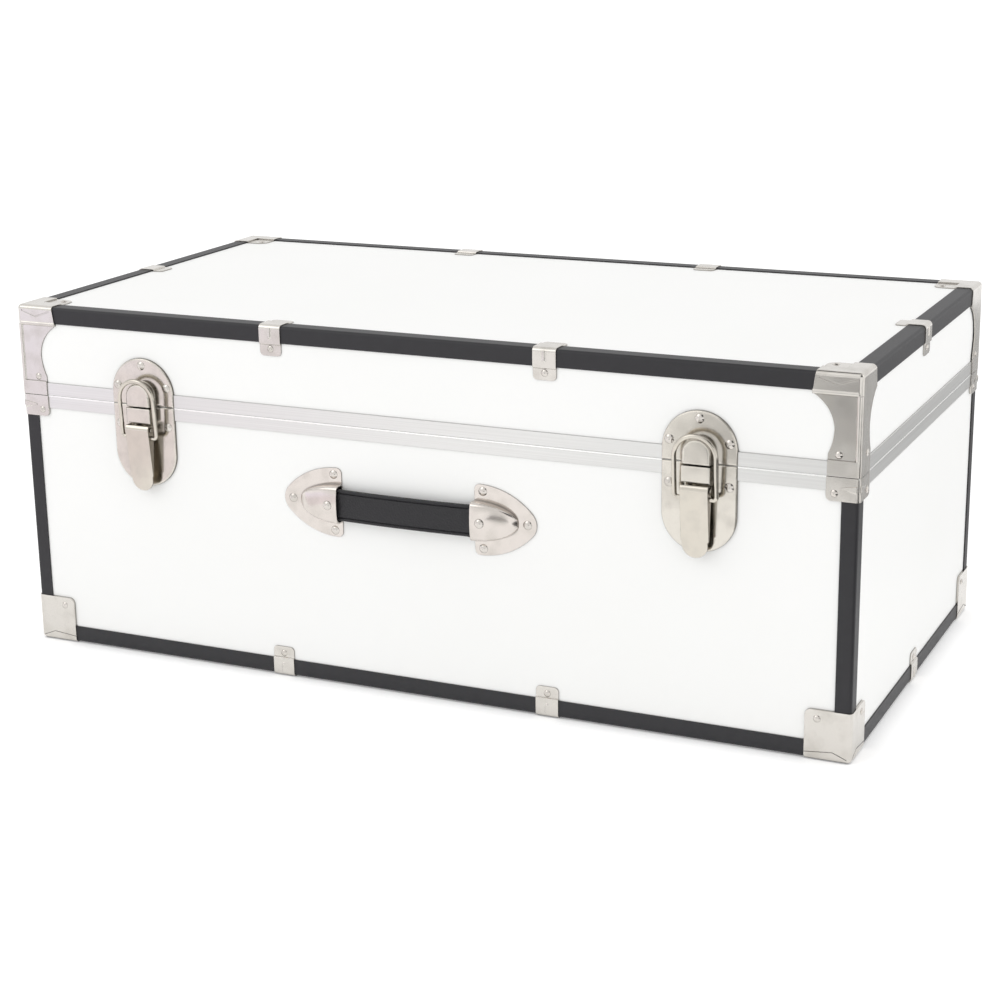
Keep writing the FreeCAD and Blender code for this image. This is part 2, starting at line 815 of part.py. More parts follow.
def cross_rod(radius, half_length, y, z):
    """Make a rod along X, centred on the latch."""
    return Part.makeCylinder(radius, 2 * half_length, Vector(-half_length, y, z), Vector(1, 0, 0))


def latch_pin():
    """Make the lever's pivot pin with a flat head outside each cheek."""
    reach = lever_width / 2 + running_gap
    rod = cross_rod(lever_pin_radius, reach, lever_y, lever_z)
    head_start = Vector(reach, lever_y, lever_z)
    head = Part.makeCylinder(lever_pin_head_radius, lever_pin_head, head_start, Vector(1, 0, 0))
    return rod.multiFuse([head, mirrored_x(head)]).removeSplitter()


def on_curl(radius, degrees):
    """Find a point on the lever's curl, at an angle up from straight in front of the pivot."""
    turn = math.radians(degrees)
    return (lever_y - radius * math.cos(turn), lever_z + radius * math.sin(turn))


def latch_lever():
    """Make the lever: a sloped tongue curled over the pivot, a narrower tip and two cheeks."""
    half = lever_width / 2
    tip_y = -(depth / 2 + lever_tip_proud)
    tip_z = latch_bottom - lever_tip_drop
    cheek_z = latch_bottom + lever_cheek_rise
    front_y, front_z = on_curl(lever_reach, 0)
    cheek_y = tip_y + (front_y - tip_y) * (cheek_z - tip_z) / (front_z - tip_z)
    back_y = lever_y + lever_cheek_depth
    inner = lever_reach - lever_sheet
    curl_end = on_curl(lever_reach, lever_curl_angle)
    outer_curl = (on_curl(lever_reach, lever_curl_angle / 2), curl_end)
    inner_curl = (on_curl(inner, lever_curl_angle / 2), on_curl(inner, 0))
    tongue = closed_face(
        on_end(-half),
        (tip_y, tip_z),
        (front_y, front_z),
        outer_curl,
        on_curl(inner, lever_curl_angle),
        inner_curl,
        (tip_y + lever_sheet, tip_z),
    ).extrude(Vector(lever_width, 0, 0))
    cheek = closed_face(
        on_end(half - lever_sheet),
        (front_y, front_z),
        outer_curl,
        (back_y, curl_end[1]),
        (back_y, lever_z - lever_cheek_drop),
        (cheek_y + lever_sheet, cheek_z),
        (cheek_y, cheek_z),
    ).extrude(Vector(lever_sheet, 0, 0))
    pressed = tongue.common(lever_outline(cheek_z, tip_z))
    whole = pressed.multiFuse([cheek, mirrored_x(cheek)]).removeSplitter()
    pin_bore = cross_rod(lever_pin_radius + pin_clearance, lever_width, lever_y, lever_z)
    loop_bore = cross_rod(loop_wire_radius + pin_clearance, lever_width, loop_y, loop_z)
    return whole.cut(pin_bore).cut(loop_bore)


def lever_outline(cheek_z, tip_z):
    """Make the block that gives the lever its outline from the front, with a narrower round tip."""
    half = lever_width / 2
    tab = half - lever_tab_inset
    return closed_face(
        on_front(-depth),
        (-half, cheek_z),
        (-half, seam_height),
        (half, seam_height),
        (half, cheek_z),
        (tab, cheek_z),
        (tab, tip_z + tab),
        ((0, tip_z), (-tab, tip_z + tab)),
        (-tab, cheek_z),
    ).extrude(Vector(0, depth, 0))


def latch_loop():
    """Bend the wire loop from the lever's cheeks up round the nose, leaning clear of the nose's face."""
    head_y = nose_front - loop_face_gap - loop_wire_radius
    rise = seam_height + nose_rise + loop_clearance - loop_wire_radius - loop_z
    lean = math.atan2(loop_y - head_y, rise)
    run = math.hypot(rise, loop_y - head_y)
    half = loop_half_width
    end = lever_width / 2 - loop_end_length
    eased = loop_bend_radius * (1 - math.sqrt(0.5))
    turn = half - loop_bend_radius
    low = loop_z
    bend_top = low + loop_bend_radius
    shoulder = low + run - half
    place = on_front(loop_y)
    left_bend = (place(-turn, low), place(-half + eased, low + eased), place(-half, bend_top))
    crown = (place(-half, shoulder), place(0, low + run), place(half, shoulder))
    right_bend = (place(half, bend_top), place(half - eased, low + eased), place(turn, low))
    edges = [
        Part.makeLine(place(-end, low), left_bend[0]),
        Part.Arc(*left_bend).toShape(),
        Part.makeLine(left_bend[-1], crown[0]),
        Part.Arc(*crown).toShape(),
        Part.makeLine(crown[-1], right_bend[0]),
        Part.Arc(*right_bend).toShape(),
        Part.makeLine(right_bend[-1], place(end, low)),
    ]
    section = Part.Wire(Part.makeCircle(loop_wire_radius, place(-end, low), Vector(1, 0, 0)))
    wire = Part.Wire(edges).makePipeShell([section], True, False)
    wire.rotate(place(0, low), Vector(1, 0, 0), math.degrees(lean))
    return wire


def handle_cap():
    """Press one handle cap: a round-tipped plate with a hollow dome that the strap's end slides in."""
    plate = handle_cap_outline().extrude(Vector(0, -hardware_sheet, 0))
    outer = dome_loft(handle_dome_shares + (handle_dome_end_share,), 0)
    inner = dome_loft(handle_dome_shares, hardware_sheet)
    whole = outer.cut(inner).fuse(plate).removeSplitter()
    return whole.cut(through_rivet_bore(handle_through_rivet_radius + seat_clearance))


def handle_cap_outline():
    """Draw the cap's plate: round ears at the mouth and long arcs that run into the round tip."""
    z = handle_height
    half = handle_cap_half_height
    ear = handle_cap_mouth + handle_ear_round
    tip_centre = handle_cap_tip - handle_tip_round
    run = tip_centre - ear
    side_radius = (run ** 2 + half ** 2 - handle_tip_round ** 2) / (2 * (half - handle_tip_round))
    bearing = math.atan2(side_radius - half, run)
    meet_x = tip_centre + handle_tip_round * math.cos(bearing)
    meet = handle_tip_round * math.sin(bearing)
    mid = (math.pi / 2 + bearing) / 2
    mid_x = ear + side_radius * math.cos(mid)
    mid_half = half - side_radius + side_radius * math.sin(mid)
    eased = handle_ear_round * (1 - math.sqrt(0.5))
    mouth = handle_cap_mouth
    return closed_face(
        on_front(-board_y),
        (mouth, z - half + handle_ear_round),
        ((mouth + eased, z - half + eased), (ear, z - half)),
        ((mid_x, z - mid_half), (meet_x, z - meet)),
        ((handle_cap_tip, z), (meet_x, z + meet)),
        ((mid_x, z + mid_half), (ear, z + half)),
        ((mouth + eased, z + half - eased), (mouth, z + half - handle_ear_round)),
    )


def dome_scale(share):
    """Scale the dome's section along an ellipse, from full size at the mouth."""
    return math.sqrt(1 - share ** 2)


def dome_loft(shares, inset):
    """Loft the handle cap's dome, or the hollow inside it when there is an inset."""
    sections = []
    for share in shares:
        scale = dome_scale(share)
        reach = handle_cap_mouth + handle_dome_length * share
        half = handle_dome_half_height * scale - inset
        rise = handle_dome_rise * scale - inset
        sections.append(arch_wire(reach, half, rise, handle_dome_round * scale, handle_dome_crown * scale))
    return Part.makeLoft(sections, True)


def arch_wire(reach, half, rise, corner, crown):
    """Draw a low arch across the handle: upright sides, round shoulders and a slightly crowned top."""
    z = handle_height
    foot = -board_y - hardware_sheet
    run = half - corner
    crown_radius = corner + (run ** 2 + crown ** 2) / (2 * crown)
    shoulder = rise - corner - crown
    bearing = math.atan2(crown_radius - corner - crown, run)
    meet = run + corner * math.cos(bearing)
    meet_rise = shoulder + corner * math.sin(bearing)
    mid = run + corner * math.cos(bearing / 2)
    mid_rise = shoulder + corner * math.sin(bearing / 2)

    def at(across, up):
        return Vector(reach, -board_y - up, z + across)

    edges = [
        Part.makeLine(Vector(reach, foot, z - half), at(-half, shoulder)),
        Part.Arc(at(-half, shoulder), at(-mid, mid_rise), at(-meet, meet_rise)).toShape(),
        Part.Arc(at(-meet, meet_rise), at(0, rise), at(meet, meet_rise)).toShape(),
        Part.Arc(at(meet, meet_rise), at(mid, mid_rise), at(half, shoulder)).toShape(),
        Part.makeLine(at(half, shoulder), Vector(reach, foot, z + half)),
        Part.makeLine(Vector(reach, foot, z + half), Vector(reach, foot, z - half)),
    ]
    return Part.Wire(edges)


def through_rivet_bore(radius):
    """Make a rod where the rivet goes through the cap's dome and the strap's slot."""
    start = Vector(handle_through_rivet_reach, -board_y - hardware_sheet, handle_height)
    return Part.makeCylinder(radius, overrun + handle_dome_rise, start, Vector(0, -1, 0))


def through_rivet():
    """Make the rivet through a handle cap: a shank from the plate and a domed head on the dome."""
    share = handle_through_rivet_inset / handle_dome_length
    shank_length = handle_dome_rise * dome_scale(share) + handle_rivet_seat - hardware_sheet
    start = Vector(handle_through_rivet_reach, -board_y - hardware_sheet, handle_height)
    shank = Part.makeCylinder(handle_through_rivet_radius, shank_length, start, Vector(0, -1, 0))
    head = head_on(rivet, (handle_through_rivet_reach, start.y - shank_length, handle_height), front)
    return shank.fuse(head).removeSplitter()


def handle_rivets():
    """Set the rivets of both handle caps."""
    y = -board_y - hardware_sheet
    ear_reach = handle_cap_mouth + handle_ear_rivet_inset
    ear_offset = handle_dome_half_height + handle_cap_margin * handle_ear_rivet_share
    spots = [
        (ear_reach, handle_height + ear_offset),
        (ear_reach, handle_height - ear_offset),
        (handle_cap_tip - handle_tip_rivet_inset, handle_height),
    ]
    right_side = [head_on(rivet, (x, y, z), front) for x, z in spots] + [through_rivet()]
    return Part.makeCompound(right_side + [mirrored_x(r) for r in right_side])


def handle_strap():
    """Cut the strap: bowed away from the case, with rounded ends slotted for the cap rivets."""
    z = handle_height
    half = strap_half_height
    start = handle_cap_mouth - strap_shoulder_setback
    bend = handle_cap_mouth + strap_round_run
    bend_half = half * strap_round_share
    side = handle_cap_mouth + strap_end_run
    side_half = half * strap_end_share
    outline = closed_face(
        on_front(-depth),
        (-start, z - half),
        (start, z - half),
        ((bend, z - bend_half), (side, z - side_half)),
        (side, z + side_half),
        ((bend, z + bend_half), (start, z + half)),
        (-start, z + half),
        ((-bend, z + bend_half), (-side, z + side_half)),
        (-side, z - side_half),
        ((-bend, z - bend_half), (-start, z - half)),
    ).extrude(Vector(0, depth, 0))
    crown = -depth / 2 - strap_proud
    heel = -depth / 2 - strap_end_proud
    bow = closed_face(
        on_level(0),
        (-side, heel),
        ((0, crown), (side, heel)),
        (side, heel + strap_thickness),
        ((0, crown + strap_thickness), (-side, heel + strap_thickness)),
    ).extrude(Vector(0, 0, height))
    slot_radius = handle_through_rivet_radius + running_gap
    near = handle_through_rivet_reach - strap_play
    far = handle_through_rivet_reach + strap_play
    slot = closed_face(
        on_front(-depth),
        (near, z - slot_radius),
        (far, z - slot_radius),
        ((far + slot_radius, z), (far, z + slot_radius)),
        (near, z + slot_radius),
        ((near - slot_radius, z), (near, z - slot_radius)),
    ).extrude(Vector(0, depth, 0))
    return outline.common(bow).cut(slot).cut(mirrored_x(slot))


def hinge_plate(low, high, rim_strip):
    """Make a hinge leaf's plate at the front, to be turned to the back."""
    half = hinge_width / 2
    face = closed_face(on_front(-board_y), (-half, low), (half, low), (half, high), (-half, high))
    return bevelled_plate(face, rim_strip)


def knuckle(start, end, above):
    """Make one hinge knuckle between two places along X, with the neck that joins it to its leaf."""
    y = -hinge_y
    axis_start = Vector(start, y, seam_height)
    barrel = Part.makeCylinder(hinge_barrel_radius, end - start, axis_start, Vector(1, 0, 0))
    near = seam_height + above * hinge_neck_high
    far = seam_height + above * (hinge_leaf_start + hinge_neck_lap)
    low = (start, y + hinge_neck_reach, min(near, far))
    high = (end, -edge_y - seat_clearance, max(near, far))
    return barrel.fuse(block(low, high))


def hinge_bore(radius):
    """Make a rod along the hinge's axis."""
    start = Vector(-hinge_width / 2, -hinge_y, seam_height)
    return Part.makeCylinder(radius, hinge_width, start, Vector(1, 0, 0))


def hinge_leaves(case_strip, lid_strip):
    """Make a hinge's case leaf with two outer knuckles and its lid leaf with one between them."""
    half = hinge_width / 2
    inner = half * hinge_knuckle_share
    case_plate = hinge_plate(seam_height - hinge_leaf_height, seam_height - hinge_leaf_start, case_strip)
    lid_plate = hinge_plate(seam_height + hinge_leaf_start, seam_height + hinge_leaf_height, lid_strip)
    left_knuckle = knuckle(-half, -inner - running_gap, -1)
    case_leaf = case_plate.multiFuse([left_knuckle, mirrored_x(left_knuckle)]).removeSplitter()
    lid_leaf = lid_plate.fuse(knuckle(-inner, inner, 1)).removeSplitter()
    case_leaf = case_leaf.cut(hinge_bore(hinge_pin_radius + seat_clearance))
    lid_leaf = lid_leaf.cut(hinge_bore(hinge_pin_radius + pin_clearance))
    return case_leaf, lid_leaf


def at_back(shape, x):
    """Turn a piece made at the front to the back and set it along the trunk."""
    return moved(turned(shape, 180), x, 0, 0)


def stay_radius():
    """Find the stay's radius from the hinge, the largest that keeps the bar's end above the floor."""
    half_swing = math.radians(stay_lid_angle + stay_case_angle + stay_opening_angle) / 2
    reach_per_radius = 2 * math.sin(half_swing) - math.sin(math.radians(stay_lid_angle))
    room = seam_height - case_floor - stay_floor_gap - stay_slot_half - stay_slot_wall
    return room / reach_per_radius


def stay_points():
    """Find the stay's lid rivet and case stud, both at the same radius from the hinge axis."""
    radius = stay_radius()
    lid_turn = math.radians(stay_lid_angle)
    case_turn = math.radians(stay_case_angle)
    lid_point = (hinge_y - radius * math.cos(lid_turn), seam_height + radius * math.sin(lid_turn))
    case_point = (hinge_y - radius * math.cos(case_turn), seam_height - radius * math.sin(case_turn))
    return lid_point, case_point


def stay_chord(opening):
    """Find the distance from the lid rivet to the case stud at a lid opening."""
    return 2 * stay_radius() * math.sin(math.radians(stay_lid_angle + stay_case_angle + opening) / 2)


def slot_face(place, half_width, near, far):
    """Draw a hanging slot with round ends, or a bar's outline, between two drops."""
    return closed_face(
        place,
        (-half_width, -near),
        (-half_width, -far),
        ((0, -far - half_width), (half_width, -far)),
        (half_width, -near),
        ((0, -near + half_width), (-half_width, -near)),
    )


def stay_bar():
    """Make the stay's slotted bar, hung on the lid rivet and pointing at the case stud."""
    (lid_y, lid_z), (case_y, case_z) = stay_points()
    half = stay_bar_width / 2
    far = stay_chord(stay_opening_angle)
    end = far + stay_slot_half + stay_slot_wall - half
    place = on_end(stay_bar_x)
    thick = Vector(stay_bar_sheet, 0, 0)
    bar = slot_face(place, half, 0, end).extrude(thick)
    slot = slot_face(place, stay_slot_half, stay_chord(0), far).extrude(thick)
    eye_start = Vector(stay_bar_x, 0, 0)
    eye = Part.makeCylinder(stay_shank_radius + pin_clearance, stay_bar_sheet, eye_start, Vector(1, 0, 0))
    piece = bar.cut(slot).cut(eye)
    swing = math.degrees(math.atan2(case_y - lid_y, lid_z - case_z))
    piece.rotate(Vector(0, 0, 0), Vector(1, 0, 0), swing)
    return moved(piece, 0, lid_y, lid_z)


def stay_stud(y, z):
    """Make a shouldered stud on the left end's board that carries the stay's bar."""
    wall_x = -(board_x - board)
    foot = Vector(wall_x, y, z)
    along = Vector(1, 0, 0)
    spacer = Part.makeCylinder(stay_spacer_radius, stay_bar_x - running_gap - wall_x, foot, along)
    shank_length = stay_bar_x + stay_bar_sheet + running_gap - wall_x
    shank = Part.makeCylinder(stay_shank_radius, shank_length, foot, along)
    head = Part.makeCylinder(stay_head_radius, stay_head, Vector(wall_x + shank_length, y, z), along)
    return spacer.multiFuse([shank, head]).removeSplitter()


def latch_rivets(spots):
    """Set rivet heads on both latches' plates."""
    heads = []
    for centre in (-latch_offset, latch_offset):
        heads += [head_on(rivet, (centre + x, plate_front, z), front) for x, z in spots]
    return heads


def hinge_rivets(side):
    """Set rivet heads on both hinges' leaves, above or below the seam."""
    z = seam_height + side * (hinge_leaf_height - hinge_rivet_drop)
    offset = hinge_width / 2 - hinge_rivet_inset
    heads = []
    for centre in (-hinge_offset, hinge_offset):
        for x in (centre - offset, centre + offset):
            heads.append(head_on(rivet, (x, -plate_front, z), (0, 1, 0)))
    return heads


def build_case(nodes, rims):
    """Add the case's boards, rims, bindings, corner pieces, clips and fasteners."""
    for side, wall in walls(case_floor, case_wall_top).items():
        nodes["case_" + side + "_board"] = wall
    nodes["case_bottom_board"] = flat_board(board_low, case_floor)
    for side, strip in rims.items():
        nodes["case_" + side + "_rim"] = strip
    bindings = case_bindings()
    for side, strip in bindings.items():
        nodes["case_" + side + "_binding"] = strip
    uprights = upright_bindings()
    nodes["case_upright_bindings"] = uprights
    for corner, cap in four_corners(bottom_cap(list(bindings.values()) + [uprights])).items():
        nodes[corner + "_bottom_cap"] = cap
    bracket = rim_bracket([uprights] + list(rims.values()))
    nodes["case_rim_brackets"] = Part.makeCompound(list(four_corners(bracket).values()))
    nodes["case_edge_clips"] = Part.makeCompound(clip_set())
    heads = clip_nails() + corner_heads(nail, cap_width - cap_nail_margin, cap_height - cap_nail_drop, 0)
    bracket_rivet = bracket_width - bracket_rivet_margin
    heads += corner_heads(nail, bracket_rivet, bracket_low + bracket_rivet_rise, 0)
    low = seam_height - latch_low_rivet_drop
    heads += latch_rivets([(-latch_rivet_offset, low), (latch_rivet_offset, low)]) + hinge_rivets(-1)
    nodes["case_fasteners"] = Part.makeCompound(heads)


def build_lid(nodes, rims):
    """Add the lid's boards, rims, bindings, corner pieces, clips and fasteners."""
    for side, wall in walls(lid_wall_low, lid_ceiling).items():
        nodes["lid_" + side + "_board"] = wall
    nodes["lid_top_board"] = flat_board(lid_ceiling, board_high)
    for side, strip in rims.items():
        nodes["lid_" + side + "_rim"] = strip
    bindings = {side: flipped(strip) for side, strip in case_bindings().items()}
    for side, strip in bindings.items():
        nodes["lid_" + side + "_binding"] = strip
    boot = lid_corner(list(bindings.values()) + list(rims.values()))
    for corner, piece in four_corners(boot).items():
        nodes[corner + "_lid_corner"] = piece
    nodes["lid_edge_clips"] = Part.makeCompound([flipped(clip) for clip in clip_set()])
    heads = [flipped(head) for head in clip_nails()] + top_plate_nails()
    boot_rivet = boot_foot_width - boot_rivet_margin
    heads += corner_heads(nail, boot_rivet, boot_foot_top + boot_rivet_rise, edge_sheet)
    side = seam_height + latch_side_rivet_rise
    spots = [(0, latch_top - latch_rivet_margin), (-latch_rivet_offset, side), (latch_rivet_offset, side)]
    heads += latch_rivets(spots) + hinge_rivets(1)
    nodes["lid_fasteners"] = Part.makeCompound(heads)


def build_latches(nodes, case_rims, lid_rims):
    """Add both draw latches."""
    pieces = {
        "latch_keeper": latch_keeper(lid_rims["front"]),
        "latch_base": latch_base(case_rims["front"]),
        "latch_lever": latch_lever(),
        "latch_loop": latch_loop(),
        "latch_pin": latch_pin(),
    }
    for side, centre in (("left", -latch_offset), ("right", latch_offset)):
        for name, piece in pieces.items():
            nodes[side + "_" + name] = moved(piece, centre, 0, 0)


def build_handle(nodes):
    """Add the strap handle."""
    cap = handle_cap()
    nodes["right_handle_cap"] = cap
    nodes["left_handle_cap"] = mirrored_x(cap)
    nodes["handle_rivets"] = handle_rivets()
    nodes["handle_strap"] = handle_strap()


def build_hinges(nodes, case_rims, lid_rims):
    """Add both hinges and the lid stay."""
    case_leaf, lid_leaf = hinge_leaves(case_rims["front"], lid_rims["front"])
    pin = hinge_bore(hinge_pin_radius)
    for side, centre in (("left", -hinge_offset), ("right", hinge_offset)):
        nodes[side + "_hinge_case_leaf"] = at_back(case_leaf, centre)
        nodes[side + "_hinge_lid_leaf"] = at_back(lid_leaf, centre)
        nodes[side + "_hinge_pin"] = at_back(pin, centre)
    lid_point, case_point = stay_points()
    nodes["stay_lid_rivet"] = stay_stud(*lid_point)
    nodes["stay_case_stud"] = stay_stud(*case_point)
    nodes["stay_bar"] = stay_bar()


def main():
    """Build every node and write its file."""
    nodes = {}
    case_rims = rim_set(case_rim_section())
    lid_rims = rim_set(lid_rim_section())
    build_case(nodes, case_rims)
    build_lid(nodes, lid_rims)
    build_latches(nodes, case_rims, lid_rims)
    build_handle(nodes)
    build_hinges(nodes, case_rims, lid_rims)
    for name, shape in nodes.items():
        shape.exportStep("parts/" + name + ".step")


main()
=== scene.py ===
"""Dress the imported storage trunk: boards, bindings, plated hardware, draw latches and the strap handle.

Metres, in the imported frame: X runs along the trunk, the latched front looks to -Y, the floor is at Z = 0.
"""

import json
import logging
import math
from dataclasses import dataclass
from enum import Enum

import bmesh
import bpy
from mathutils import Matrix, Vector


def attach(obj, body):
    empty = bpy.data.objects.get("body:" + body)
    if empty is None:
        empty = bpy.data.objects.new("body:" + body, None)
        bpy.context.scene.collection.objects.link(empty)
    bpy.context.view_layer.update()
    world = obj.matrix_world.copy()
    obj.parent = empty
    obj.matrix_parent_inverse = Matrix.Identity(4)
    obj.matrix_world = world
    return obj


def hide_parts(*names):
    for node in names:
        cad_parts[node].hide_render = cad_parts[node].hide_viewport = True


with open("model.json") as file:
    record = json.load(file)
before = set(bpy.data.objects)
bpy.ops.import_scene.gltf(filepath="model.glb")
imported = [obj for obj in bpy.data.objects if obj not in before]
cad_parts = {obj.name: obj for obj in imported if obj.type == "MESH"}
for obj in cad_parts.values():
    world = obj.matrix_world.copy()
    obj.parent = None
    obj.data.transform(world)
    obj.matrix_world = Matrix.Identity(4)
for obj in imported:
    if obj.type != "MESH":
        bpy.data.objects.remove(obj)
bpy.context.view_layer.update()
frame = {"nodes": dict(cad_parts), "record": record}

SLOT_OF = {entry["node"]: entry["material_slot"] for entry in frame["record"]["subparts"]}
MM = 0.001
WHITE = "#FFFFFF"
BLACK = "#000000"
# A rectangle's corners in order, as signs along X and Y
CORNERS = ((-1, -1), (1, -1), (1, 1), (-1, 1))
# The colour sockets of a Mix node, by place, because its number sockets have the same names
TONE_A, TONE_B, TONE_OUT = 6, 7, 2
# How many rays feel for shelter, and for the edges that a bevel rounds
SHELTER_RAYS = 16
EDGE_RAYS = 6
# How far the painted crease shade fades, on each side of the open share at which it has half its strength
SHELTER_FADE = 0.3
log = logging.getLogger("trunk")


class Side(Enum):
    """The two ends of the trunk, with their sign along X."""

    LEFT = -1
    RIGHT = 1


def to_linear(code: str) -> tuple[float, float, float, float]:
    """Turn an sRGB hex colour into a linear one.

    Args:
        code: Six hex digits after a hash sign.

    Returns:
        Linear red, green and blue, with an alpha of 1.
    """
    shares = [int(code[start:start + 2], 16) / 255 for start in (1, 3, 5)]
    linear = [s / 12.92 if s <= 0.04045 else ((s + 0.055) / 1.055) ** 2.4 for s in shares]
    return (linear[0], linear[1], linear[2], 1.0)


def per_metre(spacing_mm: float) -> float:
    """Return the texture scale that repeats once in this many millimetres."""
    return 1 / (spacing_mm * MM)


def add_node(
    tree: bpy.types.NodeTree,
    kind: str,
    settings: dict[str | int, object] | None = None,
    links: dict[str | int, bpy.types.NodeSocket] | None = None,
) -> bpy.types.Node:
    """Add a node with its settings and links.

    Args:
        tree: The node tree that takes the node.
        kind: The node's type name.
        settings: Socket names or places, or attribute names, with their values.
        links: Socket names or places with the outputs that feed them.

    Returns:
        The new node.
    """
    node = tree.nodes.new(kind)
    for key, value in (settings or {}).items():
        if isinstance(key, str) and key not in node.inputs:
            setattr(node, key, value)
    for key, value in (settings or {}).items():
        if isinstance(key, int) or key in node.inputs:
            node.inputs[key].default_value = value
    for key, source in (links or {}).items():
        tree.links.new(source, node.inputs[key])
    return node


def seen_strength(tree: bpy.types.NodeTree, unseen: float, seen: float) -> bpy.types.NodeSocket:
    """Give a light one strength on the object and another where the camera or a mirror sees it.

    Args:
        tree: The node tree of the floor or the world.
        unseen: The strength that lights the object.
        seen: The strength for camera, glossy and transmission rays.

    Returns:
        The strength for the ray at hand.
    """
    path = add_node(tree, "ShaderNodeLightPath")
    straight = add_node(
        tree, "ShaderNodeMath", {"operation": "MAXIMUM"},
        {0: path.outputs["Is Camera Ray"], 1: path.outputs["Is Transmission Ray"]},
    )
    either = add_node(
        tree, "ShaderNodeMath", {"operation": "MAXIMUM"},
        {0: straight.outputs["Value"], 1: path.outputs["Is Glossy Ray"]},
    )
    strength = add_node(
        tree, "ShaderNodeMapRange", {"To Min": unseen, "To Max": seen},
        {"Value": either.outputs["Value"]},
    )
    return strength.outputs["Result"]


def paint_crease_shade(
    tree: bpy.types.NodeTree,
    clean: bpy.types.NodeSocket,
    painted_shade: str,
    reach_mm: float,
    open_share: float,
) -> bpy.types.NodeSocket:
    """Paint shade into a colour where the surface is sheltered by what stands close to it.

    Args:
        tree: The material's node tree.
        clean: The colour in the open.
        painted_shade: The colour in the closest crease.
        reach_mm: How far away shelter counts.
        open_share: The open share of the sky at which the painted shade has half its strength.

    Returns:
        The colour with its painted shade.
    """
    # Painted shade: the colour darkens where close surfaces block the sky
    shelter = add_node(
        tree, "ShaderNodeAmbientOcclusion", {"samples": SHELTER_RAYS, "Distance": reach_mm * MM},
    )
    exposed = add_node(
        tree, "ShaderNodeMapRange",
        {"From Min": open_share - SHELTER_FADE, "From Max": open_share + SHELTER_FADE},
        {"Value": shelter.outputs["AO"]},
    )
    tone = add_node(
        tree, "ShaderNodeMix", {"data_type": "RGBA", TONE_A: to_linear(painted_shade)},
        {"Factor": exposed.outputs["Result"], TONE_B: clean},
    )
    return tone.outputs[TONE_OUT]


@dataclass(frozen=True)
class Finish:
    """A surface finish, kept by the record's material slot or by a name of its own."""

    slot: str
    name: str
    colour: str
    roughness: float

    def build(self) -> bpy.types.Material:
        """Make the material.

        Returns:
            The finished material.
        """
        material = bpy.data.materials.new(self.name)
        material.use_nodes = True
        tree = material.node_tree
        shader = tree.nodes["Principled BSDF"]
        shader.inputs["Base Color"].default_value = to_linear(self.colour)
        shader.inputs["Roughness"].default_value = self.roughness
        self.paint(tree, shader)
        return material

    def paint(self, tree: bpy.types.NodeTree, shader: bpy.types.Node) -> None:
        """Add the finish's own nodes.

        Args:
            tree: The material's node tree.
            shader: Its surface shader.
        """
        raise NotImplementedError


@dataclass(frozen=True)
class MelamineBoard(Finish):
    """White melamine paper pressed on plywood: an even, bright white with a soft sheen and a fine pebble."""

    pebble_mm: float = 0.9
    pebble_depth_mm: float = 0.05
    pebble_strength: float = 0.06
    mottle_mm: float = 160.0
    shade: str = "#F7F7F5"
    # The painted shade against metal, and how far it reaches
    painted_shade: str = "#6E6D6B"
    painted_shade_mm: float = 1.6
    open_share: float = 0.48
    sheen: float = 0.3

    def paint(self, tree: bpy.types.NodeTree, shader: bpy.types.Node) -> None:
        """Add the pebble, a faint change of tone and a thin line of painted shade against metal.

        Args:
            tree: The material's node tree.
            shader: Its surface shader.
        """
        place = add_node(tree, "ShaderNodeTexCoord").outputs["Object"]
        mottle, pebble = (
            add_node(
                tree, "ShaderNodeTexNoise", {"Scale": per_metre(size), "Detail": detail}, {"Vector": place},
            )
            for size, detail in ((self.mottle_mm, 2.0), (self.pebble_mm, 1.0))
        )
        clean = add_node(
            tree, "ShaderNodeMix",
            {"data_type": "RGBA", TONE_A: to_linear(self.colour), TONE_B: to_linear(self.shade)},
            {"Factor": mottle.outputs["Fac"]},
        )
        tone = paint_crease_shade(tree, clean.outputs[TONE_OUT], self.painted_shade, self.painted_shade_mm, self.open_share)
        bump = add_node(
            tree, "ShaderNodeBump",
            {"Strength": self.pebble_strength, "Distance": self.pebble_depth_mm * MM},
            {"Height": pebble.outputs["Fac"]},
        )
        shader.inputs["Specular IOR Level"].default_value = self.sheen
        tree.links.new(tone, shader.inputs["Base Color"])
        tree.links.new(bump.outputs["Normal"], shader.inputs["Normal"])


